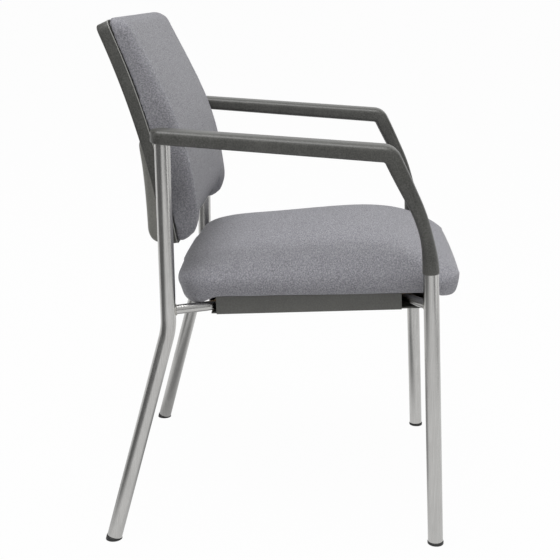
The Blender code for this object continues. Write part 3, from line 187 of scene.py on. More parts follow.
class Look:
    """The nodes of a material or of the world, under construction."""

    def __init__(self, name, store=bpy.data.materials, shader="Principled BSDF"):
        self.made = store.new(name)
        self.made.use_nodes = True
        self.nodes = self.made.node_tree.nodes
        self.links = self.made.node_tree.links
        self.shader = self.nodes[shader]

    def add(self, kind, values=(), **settings):
        node = self.nodes.new("ShaderNode" + kind)
        assign(node, settings)
        for key, value in dict(values).items():
            self.feed(node.inputs[key], value)
        return node

    def feed(self, socket, value):
        """Links a socket to the one that feeds it, or sets its value."""
        if isinstance(value, bpy.types.NodeSocket):
            self.links.new(value, socket)
        else:
            socket.default_value = value

    def show(self, node, output="Material Output"):
        self.links.new(node.outputs[0], self.nodes[output].inputs["Surface"])

    def math(self, operation, a, b=0.0, c=0.0):
        return self.add("Math", {0: a, 1: b, 2: c}, operation=operation).outputs[0]

    def weighted(self, *parts):
        """Sum of values, each with its weight."""
        total = 0.0
        for value, weight in parts:
            total = self.math("MULTIPLY_ADD", value, weight, total)
        return total

    def spot(self, kind="Object"):
        return self.add("TexCoord").outputs[kind]

    def parts(self, vector):
        return self.add("SeparateXYZ", {0: vector}).outputs

    def place(self, scale=(1, 1, 1), turn=(0, 0, 0)):
        """Object coordinates, turned and scaled."""
        return self.add("Mapping", {"Vector": self.spot(), "Rotation": turn, "Scale": scale}).outputs[0]

    def noise(self, place, scale, detail=2.0, rough=0.5):
        return self.add("TexNoise", {"Vector": place, "Scale": scale, "Detail": detail,
                                     "Roughness": rough}).outputs["Fac"]

    def ramp(self, value, *stops):
        """Colours between stops of (position, colour)."""
        node = self.add("ValToRGB", {"Fac": value})
        parts = node.color_ramp.elements
        while len(parts) < len(stops):
            parts.new(0.5)
        for part, (spot, colour) in zip(parts, stops):
            part.position = spot
            part.color = (*colour, 1)
        return node.outputs["Color"]

    def span(self, value, low, high, start=0.0, end=1.0):
        """A value between start and end, carried over to low and high."""
        return self.add("MapRange", {"Value": value, "From Min": start, "From Max": end, "To Min": low,
                                     "To Max": high}).outputs[0]

    def mix(self, kind, part, a, b):
        node = self.add("Mix", data_type="RGBA", blend_type=kind)
        for index, value in ((0, part), (6, a), (7, b)):
            self.feed(node.inputs[index], value)
        return node.outputs[2]

    def bump(self, height, strength, distance, under=None):
        values = {"Height": height, "Strength": strength, "Distance": distance}
        if under is not None:
            values["Normal"] = under
        return self.add("Bump", values).outputs["Normal"]

    def set(self, **sockets):
        for key, value in sockets.items():
            self.feed(self.shader.inputs[key.replace("_", " ")], value)
        return self.made


def woven_fabric(name, tilt, lift=1.0):
    """Plain-weave melange cloth: crossing yarns, light and dark flecks, soft sheen. lift scales the cloth's
    tone to paint light on a copy: above 1 a painted highlight, below 1 painted shade.
    """
    look = Look(name)
    pitch = 0.00135
    spot = look.place((1, 1, 1), (tilt, 0, 0))
    sway = look.add("TexNoise", {"Vector": spot, "Scale": 90.0, "Detail": 1.0}).outputs["Color"]
    spot = look.add("VectorMath", {0: sway, 1: (0.0011, 0.0011, 0.0011), 2: spot},
                    operation="MULTIPLY_ADD").outputs[0]
    waves = [look.math("SINE", look.math("MULTIPLY", part, 2 * math.pi / pitch)) for part in look.parts(spot)]
    normals = look.parts(look.spot("Normal"))
    facing = [look.math("POWER", look.math("ABSOLUTE", part), 3.0) for part in normals]
    total = look.weighted(*((look.math("MULTIPLY", waves[first], waves[second]), facing[across])
                            for first, second, across in ((1, 2, 0), (0, 2, 1), (0, 1, 2))))
    weave = look.span(look.math("MULTIPLY_ADD", total, 0.5, 0.5), 0.0, 1.0)

    fine = look.noise(look.place(), 620.0, 3.0, 0.65)
    fleck = look.noise(look.place((190, 460, 520)), 1.0, 2.0, 0.6)
    patch = look.noise(look.place(), 46.0, 2.0)
    yarn = look.weighted((fine, 0.40), (fleck, 0.50), (weave, 0.16))
    tone = look.ramp(yarn, (0.36, (0.150, 0.149, 0.166)), (0.53, (0.296, 0.294, 0.320)),
                     (0.70, (0.520, 0.517, 0.550)))
    shade = look.span(patch, 0.97 * lift, 1.03 * lift)
    grey = look.add("CombineColor", {0: shade, 1: shade, 2: shade}).outputs[0]
    tone = look.mix("MULTIPLY", 1.0, tone, grey)
    rise = look.math("MULTIPLY_ADD", fine, 0.6, weave)
    normal = look.bump(rise, 0.35, 0.0006)
    return look.set(Base_Color=tone, Roughness=look.span(fine, 0.84, 0.98), Normal=normal,
                    Sheen_Weight=0.25, Sheen_Roughness=0.45, Specular_IOR_Level=0.25)


def moulded_plastic(name, dark, light, low=0.34, high=0.46, grain=0.20):
    """Spark-eroded moulding: fine pebble grain, slight mottling, and paler edges that are partly wear and
    partly a painted edge highlight.
    """
    look = Look(name)
    spot = look.place()
    cells = look.add("TexVoronoi", {"Vector": spot, "Scale": 700.0}, feature="SMOOTH_F1").outputs["Distance"]
    fine = look.noise(spot, 1400.0, 2.0)
    cloud = look.noise(spot, 24.0, 3.0)
    speck = look.noise(spot, 430.0, 2.0, 0.6)
    mottle = look.weighted((fine, 0.20), (speck, 0.55), (cloud, 0.25))
    tone = look.ramp(mottle, (0.38, dark), (0.62, light))
    # Paler where the surface curves sharply: partly wear, partly a painted highlight on the edges.
    wear_and_highlight = look.span(look.add("NewGeometry").outputs["Pointiness"], 0.0, 0.35, 0.53, 0.62)
    pale = tuple(min(1.0, 1.9 * c) for c in light)
    tone = look.mix("MIX", wear_and_highlight, tone, (*pale, 1))
    normal = look.bump(look.math("MULTIPLY_ADD", fine, 0.5, cells), grain, 0.00025)
    return look.set(Base_Color=tone, Roughness=look.span(cloud, low, high), Normal=normal)


def brushed_steel(name, streaks, dark=(0.40, 0.396, 0.386), light=(0.53, 0.526, 0.514), low=0.17,
                  high=0.30):
    """Satin nickel tube: fine brush lines along the tube, faint cloudiness."""
    look = Look(name)
    lines = look.noise(look.place(streaks), 1.0, 3.0, 0.6)
    cloud = look.noise(look.place(), 18.0, 2.0)
    tone = look.ramp(look.weighted((cloud, 0.3), (lines, 0.7)), (0.30, dark), (0.70, light))
    normal = look.bump(lines, 0.10, 0.0002)
    return look.set(Base_Color=tone, Metallic=1.0, Roughness=look.span(lines, low, high), Normal=normal)


def zinc_plate(name):
    look = Look(name)
    spangle = look.noise(look.place(), 260.0, 4.0)
    tone = look.ramp(spangle, (0.35, (0.46, 0.46, 0.44)), (0.65, (0.66, 0.65, 0.62)))
    return look.set(Base_Color=tone, Metallic=1.0, Roughness=look.span(spangle, 0.32, 0.52),
                    Normal=look.bump(spangle, 0.08, 0.0002))


def plywood(name):
    """Rotary-cut face veneer with long grain."""
    look = Look(name)
    grain = look.noise(look.place((14, 140, 140)), 1.0, 4.0, 0.6)
    pores = look.noise(look.place((60, 900, 900)), 1.0, 2.0)
    tone = look.ramp(look.weighted((grain, 0.7), (pores, 0.3)), (0.30, (0.40, 0.27, 0.15)),
                     (0.70, (0.62, 0.47, 0.30)))
    return look.set(Base_Color=tone, Roughness=look.span(grain, 0.62, 0.8),
                    Normal=look.bump(pores, 0.12, 0.0003))


FABRIC_SEAT = woven_fabric("seat_cloth", math.radians(2.0))
# The back cloth is the seat cloth made darker: painted shade on the back cushion.
FABRIC_BACK_SHADED = woven_fabric("back_cloth_painted_shade", math.radians(-17.0), 0.92)
# The seam cloth is the back cloth made paler: a painted highlight where the sewn ridges catch the light.
SEAM_CLOTH_HIGHLIT = woven_fabric("seam_cloth_painted_highlight", math.radians(-17.0), 1.25)
PLASTIC = moulded_plastic("dark_grey_moulding", (0.040, 0.040, 0.036), (0.098, 0.098, 0.090))
# The rear cover is much paler than the shell: partly its own paler grey, partly painted light where its
# slanted sides face the light from behind.
COVER_PLASTIC_PALE_AND_LIT = moulded_plastic("grey_cover_moulding_and_painted_light", (0.185, 0.183, 0.168), (0.255, 0.252, 0.232))
# Pale plastic for the cord along the back pan's rim: a painted highlight where the rim's edge catches the
# light.
RIM_HIGHLIGHT_PLASTIC = moulded_plastic("painted_rim_highlight", (0.30, 0.30, 0.285), (0.38, 0.38, 0.36))
BLACK = moulded_plastic("black_moulding", (0.008, 0.008, 0.008), (0.016, 0.016, 0.016), 0.38, 0.5)
STEEL_Z = brushed_steel("satin_steel_legs", (900, 900, 12))
STEEL_X = brushed_steel("satin_steel_cross", (12, 900, 900))
WELD = brushed_steel("weld_metal", (300, 300, 300), (0.30, 0.29, 0.27), (0.52, 0.51, 0.48), 0.3, 0.55)
ZINC = zinc_plate("zinc_plate")
PLY = plywood("plywood_veneer")


# Mesh helpers


def put(name, mesh, look, sharp=38, place=Matrix.Identity(4)):
    if isinstance(mesh, bmesh.types.BMesh):
        mesh = mesh_of(mesh, name)
    made = bpy.data.objects.new(name, mesh)
    SCENE.collection.objects.link(made)
    made.matrix_world = place
    mesh.materials.clear()
    mesh.materials.append(look)
    mesh.shade_smooth()
    mesh.set_sharp_from_angle(angle=math.radians(sharp))
    return made


def mesh_of(bm, name, down=None):
    """The finished mesh. In an open skin, the face given as down looks down."""
    bmesh.ops.recalc_face_normals(bm, faces=bm.faces[:])
    if down is not None:
        down.normal_update()
        if down.normal.z > 0:
            bmesh.ops.reverse_faces(bm, faces=bm.faces[:])
    mesh = bpy.data.meshes.new(name)
    bm.to_mesh(mesh)
    bm.free()
    return mesh


def baked(thing):
    """The object's mesh with its modifiers and its place applied. The object is removed."""
    bpy.context.view_layer.update()
    graph = bpy.context.evaluated_depsgraph_get()
    mesh = bpy.data.meshes.new_from_object(thing.evaluated_get(graph))
    mesh.transform(thing.matrix_world)
    bpy.data.objects.remove(thing, do_unlink=True)
    return mesh


def modify(thing, kind, **settings):
    assign(thing.modifiers.new(kind.lower(), kind), settings)
    return thing


def cut(thing, tools, operation="DIFFERENCE"):
    for tool in tools:
        modify(thing, "BOOLEAN", operation=operation, object=tool)
    name, look = thing.name, thing.data.materials[0]
    mesh = baked(thing)
    for tool in tools:
        bpy.data.objects.remove(tool, do_unlink=True)
    return put(name, mesh, look)


def piece(thing, slot, *nodes):
    """Hangs a finished piece on the chair, in place of its CAD nodes where it has any."""
    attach(thing, "root")
    if nodes:
        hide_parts(*nodes)
    return thing


def along(start, axis):
    return Matrix.Translation(start) @ Vector(axis).to_track_quat("Z", "Y").to_matrix().to_4x4()


def rod(name, start, end, radius, sides=48):
    axis = Vector(end) - Vector(start)
    bm = bmesh.new()
    bmesh.ops.create_cone(bm, cap_ends=True, segments=sides, radius1=radius, radius2=radius,
                          depth=axis.length)
    return put(name, bm, BLACK, place=along(Vector(start) + axis / 2, axis))


def block(name, low, high, place=Matrix.Identity(4)):
    low, high = Vector(low), Vector(high)
    bm = bmesh.new()
    bmesh.ops.create_cube(bm, size=1)
    bmesh.ops.scale(bm, vec=high - low, verts=bm.verts[:])
    bmesh.ops.translate(bm, vec=(low + high) / 2, verts=bm.verts[:])
    return put(name, bm, BLACK, place=place)


def rounded_rectangle(half_w, low, high, corner, steps=12, far_corner=None):
    far_corner = far_corner or corner
    points = []
    for sx, sy, start in ((1, 1, 0), (-1, 1, 90), (-1, -1, 180), (1, -1, 270)):
        radius = far_corner if sy > 0 else corner
        centre_x = sx * (half_w - radius)
        centre_y = (high - radius) if sy > 0 else (low + radius)
        for step in range(steps + 1):
            angle = math.radians(start + 90 * step / steps)
            points.append((centre_x + radius * math.cos(angle), centre_y + radius * math.sin(angle)))
    return points


def spaced(points, step):
    """A closed outline with extra points along its long sides."""
    found = []
    for (x, y), (next_x, next_y) in zip(points, points[1:] + points[:1]):
        parts = max(1, round(math.hypot(next_x - x, next_y - y) / step))
        for i in range(parts):
            found.append((x + (next_x - x) * i / parts, y + (next_y - y) * i / parts))
    return found


def plate(name, outline, low, high, place=Matrix.Identity(4)):
    """A flat outline given a thickness, for use in cuts."""
    bm = bmesh.new()
    face = bm.faces.new([bm.verts.new((x, y, low)) for x, y in outline])
    raised = bmesh.ops.extrude_face_region(bm, geom=[face])["geom"]
    bmesh.ops.translate(bm, vec=(0, 0, high - low),
                        verts=[v for v in raised if isinstance(v, bmesh.types.BMVert)])
    return put(name, bm, BLACK, place=place)


def bands(bm, loops):
    """Faces between closed loops, from each to the next."""
    for first, second in zip(loops, loops[1:]):
        for i in range(len(first)):
            j = (i + 1) % len(first)
            bm.faces.new((first[i], first[j], second[j], second[i]))


def tray(name, outline, floor, ease=0.0):
    """Open skin: walls down from z = 0 round an outline, closed by a floor at height floor(y)."""
    bm = bmesh.new()
    middle = sum((y for _, y in outline)) / len(outline)
    reach_x = max(x for x, _ in outline)
    reach_y = max(y for _, y in outline) - middle
    loops = []
    for turn in quarter(4)[:-1] if ease else ():
        draw, drop = ease * (1 - math.sin(turn)), ease * (1 - math.cos(turn))
        keep_x, keep_y = 1 - draw / reach_x, 1 - draw / reach_y
        loops.append([bm.verts.new((x * keep_x, middle + (y - middle) * keep_y, -drop)) for x, y in outline])
    loops.append([bm.verts.new((x, y, -ease)) for x, y in outline])
    loops.append([bm.verts.new((x, y, floor(y))) for x, y in outline])
    bands(bm, loops)
    return mesh_of(bm, name, bm.faces.new(loops[-1]))


def soften(thing, width, segments=4, angle=30):
    return modify(thing, "BEVEL", width=width, segments=segments, angle_limit=math.radians(angle))


def thicken(thing, wall):
    return modify(thing, "SOLIDIFY", thickness=wall, offset=-1, use_even_offset=True)


def filleted(points, radii, steps=24):
    """A path through corner points, each inner corner rounded with its own radius."""
    path = [points[0]]
    for before, corner, after, radius in zip(points, points[1:], points[2:], radii):
        into = (before - corner).normalized()
        out = (after - corner).normalized()
        half = into.angle(out) / 2
        reach = min(radius / math.tan(half), 0.96 * (before - corner).length,
                    0.96 * (after - corner).length)
        radius = reach * math.tan(half)
        centre = corner + (into + out).normalized() * (radius / math.sin(half))
        first = corner + into * reach - centre
        last = corner + out * reach - centre
        turn = first.angle(last)
        for step in range(steps + 1):
            t = step / steps
            spoke = (first * math.sin((1 - t) * turn) + last * math.sin(t * turn)) / math.sin(turn)
            path.append(centre + spoke)
    path.append(points[-1])
    return path


def skin(name, rings, look, closed=False, sharp=38):
    """A solid over rings of points, closed on itself or with flat ends."""
    bm = bmesh.new()
    loops = [[bm.verts.new(p) for p in ring] for ring in rings]
    bands(bm, loops + loops[:1] if closed else loops)
    if not closed:
        bm.faces.new(loops[0])
        bm.faces.new(loops[-1])
    return put(name, bm, look, sharp)


def frames(path):
    """Tangent and a steady pair of cross directions at each point of a path."""
    found = []
    side = None
    for i in range(len(path)):
        tangent = (path[min(i + 1, len(path) - 1)] - path[max(i - 1, 0)]).normalized()
        if side is None:
            side = tangent.orthogonal()
        side = (side - tangent * side.dot(tangent)).normalized()
        found.append((tangent, side, tangent.cross(side)))
    return found


def circle(middle, side, up, radius, sides):
    return [middle + (side * math.cos(a) + up * math.sin(a)) * radius
            for a in (2 * math.pi * i / sides for i in range(sides))]


def hoops(path, radius, sides):
    return [circle(middle, side, up, radius, sides) for (_, side, up), middle in zip(frames(path), path)]


def tube(name, path, radius, wall, look, sides=56, ease=0.0005):
    """A hollow steel tube with lightly broken ends."""
    rings, inner = hoops(path, radius, sides), hoops(path, radius - wall, sides)
    for end, inward in ((0, 1), (-1, -1)):
        tangent, side, up = frames(path)[end]
        trimmed = circle(path[end], side, up, radius - ease, sides)
        rings[end] = circle(path[end] + tangent * inward * ease, side, up, radius, sides)
        rings.insert(len(rings) if end else 0, trimmed)
    return skin(name, rings + inner[::-1], look, True)


def turned(name, profile, place, look, steps=56):
    bm = bmesh.new()
    dots = [bm.verts.new((r, 0, z)) for r, z in profile]
    edges = [bm.edges.new(pair) for pair in zip(dots, dots[1:])]
    bmesh.ops.spin(bm, geom=dots + edges, cent=(0, 0, 0), axis=(0, 0, 1), angle=2 * math.pi, steps=steps,
                   use_merge=True)
    bmesh.ops.remove_doubles(bm, verts=bm.verts[:], dist=1e-6)
    return put(name, bm, look, place=place)


# Legs, glides, cross tubes and welds


def front_axis(side, z):
    return Vector((side * FRONT_X, behind(z * math.tan(FRONT_LEAN)), z))


def upright(side, z):
    return Vector((side * (UPRIGHT_X + (z - BEND_Z) * math.tan(UPRIGHT_FLARE)), behind(UPRIGHT_BACK), z))


def cross_path(post, back, z, run, bend):
    """Centre line of a tube from leg to leg, whose ends slant to the legs."""
    first, last = post(-1, z), post(1, z)
    inner = last.x - run
    corners = [Vector((-inner, behind(back), z)), Vector((inner, behind(back), z))]
    return filleted([first, *corners, last], [bend, bend], 16)


CROSS_TUBES = (("front", front_axis, FRONT_CROSS_BACK, FRONT_CROSS_Z, FRONT_CROSS_RUN, FRONT_CROSS_BEND),
               ("rear", upright, REAR_CROSS_BACK, REAR_CROSS_Z, REAR_CROSS_RUN, REAR_CROSS_BEND))


def add_glide(word, start, axis):
    """Black foot with a plug in the tube, a rounded flange and a flat sole."""
    plug = TUBE_R - TUBE_WALL - GAP
    lip = TUBE_R + GLIDE_LIP
    profile = [(0, GLIDE_PLUG), (plug - 0.001, GLIDE_PLUG), (plug, GLIDE_PLUG - 0.002), (plug, -GAP)]
    for a in quarter(6):
        profile.append((lip - GLIDE_ROUND * (1 - math.sin(a)), -GAP - GLIDE_ROUND * (1 - math.cos(a))))
    profile += [(lip, -0.03), (0, -0.03)]
    name = "glide_pad_" + word
    glide = turned(name, profile, along(start, axis), BLACK)
    bm = bmesh.new()
    bm.from_mesh(baked(glide))
    trimmed = bmesh.ops.bisect_plane(bm, geom=bm.verts[:] + bm.edges[:] + bm.faces[:], plane_co=(0, 0, 0),
                                     plane_no=(0, 0, -1), clear_outer=True)["geom_cut"]
    rim = [e for e in trimmed if isinstance(e, bmesh.types.BMEdge)]
    bmesh.ops.contextual_create(bm, geom=rim)
    bmesh.ops.bevel(bm, geom=rim, offset=SOLE_ROUND, segments=3, affect="EDGES", profile=0.5)
    piece(put(name, bm, BLACK), "glide", "glide_" + word)


def add_weld(name, start, axis, radius, leg_start, leg_axis):
    """Rippled bead where a cross tube meets a leg."""
    axis, leg_axis = axis.normalized(), leg_axis.normalized()
    side = axis.orthogonal().normalized()
    up = axis.cross(side)
    path, out = [], []
    count = 120
    flat_axis = axis - leg_axis * axis.dot(leg_axis)
    for i in range(count):
        a = 2 * math.pi * i / count
        spoke = side * math.cos(a) + up * math.sin(a)
        spot = start + spoke * radius - axis * 0.05
        gap = spot - leg_start
        gap -= leg_axis * gap.dot(leg_axis)
        b = gap.dot(flat_axis)
        c = gap.length_squared - TUBE_R ** 2
        reach = (-b - math.sqrt(max(b * b - flat_axis.length_squared * c, 0.0))) / flat_axis.length_squared
        path.append(spot + axis * reach)
        out.append(spoke)
    rings = []
    for i in range(count):
        tangent = (path[(i + 1) % count] - path[i - 1]).normalized()
        first = (out[i] - tangent * out[i].dot(tangent)).normalized()
        ripple = WELD_R * (1 + WELD_RIPPLE * math.sin(2 * math.pi * WELD_RIPPLES * i / count))
        rings.append(circle(path[i], first, tangent.cross(first), ripple, 14))
    piece(skin(name, rings, WELD, True, 60), "steel")


def add_frame():
    for word, side in SIDES:
        rear_foot = Vector((side * (UPRIGHT_X + REAR_FOOT_SPLAY), behind(REAR_FOOT_BACK), 0))
        for place, foot, *stops in (
                ("front", front_axis(side, 0), front_axis(side, FRONT_TOP_Z)),
                ("rear", rear_foot, upright(side, BEND_Z), upright(side, UPRIGHT_TOP_Z))):
            lean = (stops[0] - foot).normalized()
            start = foot + lean * (GLIDE_H / lean.z)
            path = filleted([start, *stops], [BEND_R], 32)
            leg = tube(f"{place}_leg_tube_{word}", path, TUBE_R, TUBE_WALL, STEEL_Z)
            piece(leg, "steel", f"{place}_leg_{word}")
            add_glide(f"{place}_{word}", start, lean)

    for place, post, back, z, run, bend in CROSS_TUBES:
        path = cross_path(post, back, z, run, bend)
        bar = tube(place + "_cross_bar", path, CROSS_R, CROSS_WALL, STEEL_X, 48)
        tools = [rod("cope", post(side, z - 0.05), post(side, z + 0.05), TUBE_R) for side in (-1, 1)]
        for side in (-1, 1):
            spot = Vector((side * SADDLE_X, behind(back), z))
            tools.append(rod("drill", spot - 0.02 * Z_AXIS, spot + 0.02 * Z_AXIS, 0.0035, 24))
        piece(cut(bar, tools), "steel", place + "_cross_tube")
        for (word, side), end, corner in zip(SIDES, (path[0], path[-1]), (path[1], path[-2])):
            add_weld(f"weld_{place}_{word}", end, end - corner, CROSS_R, end,
                     post(side, z + 0.1) - post(side, z - 0.1))


# Armrests


def arm_crown_z(back):
    return ARM_HEIGHT + (back - UPRIGHT_BACK) * ARM_FALL


def arm_section(middle, tangent, half_w, half_t, square_top, square_low, points=64):
    up = tangent.cross(X_AXIS).normalized()
    ring = []
    for i in range(points):
        angle = 2 * math.pi * (i + 0.5) / points
        c, s = math.cos(angle), math.sin(angle)
        power = 2 / (square_top if s > 0 else square_low)
        side = math.copysign(abs(c) ** power, c) * half_w
        rise = math.copysign(abs(s) ** power, s) * half_t
        ring.append(middle + X_AXIS * side + up * rise)
    return ring


def arm_form(s, arm_end, left, limb):
    """Width, thickness and squareness of the arm at a distance along it."""
    if s < arm_end:
        return ARM_W, ARM_T_REAR + (ARM_T - ARM_T_REAR) * s / arm_end, 3.4, 5.0
    round_d = 2 * (TUBE_R + SOCKET_LIP)
    if left > WAIST:
        t = blend((left - WAIST) / (limb - WAIST))
        return LIMB_W + (ARM_W - LIMB_W) * t, LIMB_T + (ARM_T - LIMB_T) * t, 2.4 + t, 2.8 + 2.2 * t
    t = blend(left / WAIST)
    return round_d + (LIMB_W - round_d) * t, round_d + (LIMB_T - round_d) * t, 2 + 0.4 * t, 2 + 0.8 * t


def add_arm(word, side):
    foot = front_axis(side, FRONT_TOP_Z)
    elbow = front_axis(side, FRONT_TOP_Z + LIMB_RISE)
    knee = Vector((side * FRONT_X, behind(KNEE_BACK), arm_crown_z(KNEE_BACK) - ARM_T / 2))
    tail_back = UPRIGHT_BACK + ARM_TAIL
    tail = upright(side, arm_crown_z(tail_back) - ARM_T_REAR / 2)
    tail.y = behind(tail_back)
    path = filleted([tail, knee, elbow, foot], [KNEE_R, LIMB_R], 24)
    reach = [0.0]
    for first, second in zip(path, path[1:]):
        reach.append(reach[-1] + (second - first).length)
    total = reach[-1]
    arm_end = (knee - tail).length - KNEE_R
    limb = (knee - elbow).length + LIMB_RISE - KNEE_R

    def at(d):
        d = min(max(d, 0.0), total)
        k = next(i for i in range(1, len(reach)) if d <= reach[i] + 1e-9)
        return path[k - 1].lerp(path[k], (d - reach[k - 1]) / (reach[k] - reach[k - 1]))

    cap_length = 0.016
    stations = [0.00012] + [cap_length * (1 - math.cos(turn)) for turn in quarter(14, 2)]
    while stations[-1] < total - 0.004:
        near_knee = abs(stations[-1] - arm_end - KNEE_R) < 0.03
        stations.append(stations[-1] + (0.0016 if near_knee else 0.004))
    rings = []
    for s in stations:
        flat = at(s + 0.004) - at(s - 0.004)
        flat.x = 0
        width, thick, top, low = arm_form(s, arm_end, total - s, limb)
        cap = math.sqrt(max(0.0, 1 - (1 - min(s / cap_length, 1)) ** 2))
        rings.append(arm_section(at(s), flat.normalized(), width / 2 * cap, thick / 2 * (0.62 + 0.38 * cap),
                                 top, low))
    down = (front_axis(side, 0) - front_axis(side, 1)).normalized()
    round_r = TUBE_R + SOCKET_LIP
    slim = TUBE_R - TUBE_WALL - GAP * 2
    spigot = ((-0.0011, round_r), (-0.0006, round_r - 0.0001), (-GAP, round_r - 0.0006), (-GAP, slim),
              (SPIGOT - 0.002, slim), (SPIGOT, slim - 0.002))
    for drop, radius in spigot:
        rings.append(arm_section(foot + down * drop, down, radius, radius, 2, 2))
    arm = skin("arm_moulding_" + word, rings, PLASTIC)
    inward = Vector((-side, 0, 0))
    level = upright(side, (UPRIGHT_TOP_Z + ARM_HEIGHT - ARM_T_REAR) / 2)
    seat = level + inward * (TUBE_R + FIT + GAP + (ARM_W / 2 - TUBE_R) / 3)
    tools = [rod("socket", upright(side, UPRIGHT_TOP_Z - 2 * ARM_T), upright(side, UPRIGHT_TOP_Z + GAP * 2),
                 TUBE_R + FIT),
             rod("screw_head", seat - inward * GAP, seat + inward * ARM_W, 0.005, 24)]
    piece(cut(arm, tools), "plastic", "armrest_" + word)


# Seat shell and back mouldings


def board_outline():
    """Outline of the room for the seat board."""
    wide, deep = (size / 2 - BOARD_INSET + GAP * 2 for size in (SEAT_W, SEAT_D))
    return rounded_rectangle(wide, -deep, deep, BOARD_CORNER)


def shell_floor(y):
    spots = [SEAT_FRAME.inverted() @ Vector((0, behind(back), z))
             for back, z in ((FRONT_CROSS_BACK, FRONT_CROSS_Z - SHELL_ROOM_FRONT),
                             (REAR_CROSS_BACK, REAR_CROSS_Z - SHELL_ROOM_REAR))]
    fall = (spots[1].z - spots[0].z) / (spots[1].y - spots[0].y)
    return spots[0].z + fall * (y - spots[0].y) - CROSS_R - SHELL_WALL


def add_seat_shell():
    outline = rounded_rectangle(SHELL_HALF_W, -SHELL_FRONT, SHELL_REAR, SHELL_CORNER,
                                far_corner=SHELL_CORNER_REAR)
    lift = SHELL_RISE - GAP
    shell = put("seat_underpan", tray("seat_underpan", outline, lambda y: shell_floor(y) - lift), PLASTIC)
    shell.matrix_world = SEAT_FRAME @ Matrix.Translation((0, 0, lift))
    thicken(soften(shell, SHELL_EDGE), SHELL_WALL)
    out = SHELL_HALF_W + SHELL_CORNER
    edge = SHELL_WALL + 1.5 * SHELL_EDGE
    far = SHELL_REAR + SHELL_CORNER
    low = min(shell_floor(-SHELL_FRONT), shell_floor(SHELL_REAR)) - SHELL_WALL
    tools = [plate("board_room", board_outline(), 0, SEAT_BOARD_T, SEAT_FRAME)]
    for side in (-1, 1):
        for inside, near, end in ((SHELL_HALF_W - edge, -FRONT_MOUTH[1], -FRONT_MOUTH[0]),
                                  (SHELL_HALF_W - edge, REAR_MOUTH, far),
                                  (REAR_MOUTH_X, SHELL_REAR - edge, far)):
            across = sorted((side * inside, side * out))
            tools.append(block("mouth", (across[0], near, low), (across[1], end, SEAT_BOARD_T), SEAT_FRAME))
    shell = cut(shell, tools)
    soften(shell, 0.0005, 2, 50)
    piece(shell, "plastic", "seat_shell")


def back_place(u, v, f):
    """World place of a point on the back: across, up along the rim's curve, and forward of it."""
    rake = BACK_RAKE_LOW + BACK_TURN * v
    y = behind(BACK_BACK) + (math.cos(BACK_RAKE_LOW) - math.cos(rake)) / BACK_TURN
    z = BACK_LOW_Z + (math.sin(rake) - math.sin(BACK_RAKE_LOW)) / BACK_TURN
    return Vector((u * (1 - BACK_TAPER * v / BACK_H), y - f * math.cos(rake), z + f * math.sin(rake)))


def back_spots(points):
    """The reverse of back_place, for an array of points."""
    rear = behind(BACK_BACK) + math.cos(BACK_RAKE_LOW) / BACK_TURN - points[:, 1]
    rise = points[:, 2] - BACK_LOW_Z + math.sin(BACK_RAKE_LOW) / BACK_TURN
    v = (np.arctan2(rise, rear) - BACK_RAKE_LOW) / BACK_TURN
    return points[:, 0] / (1 - BACK_TAPER * v / BACK_H), v, np.hypot(rear, rise) - 1 / BACK_TURN


def bent(flat, slices=36):
    """A flat-modelled object sliced and bent to the back's curve."""
    name, look = flat.name, flat.data.materials[0]
    bm = bmesh.new()
    bm.from_mesh(baked(flat))
    for i in range(1, slices):
        bmesh.ops.bisect_plane(bm, geom=bm.verts[:] + bm.edges[:] + bm.faces[:],
                               plane_co=(0, BACK_H * i / slices, 0), plane_no=(0, 1, 0))
    for v in bm.verts:
        v.co = back_place(*v.co)
    return put(name, bm, look)


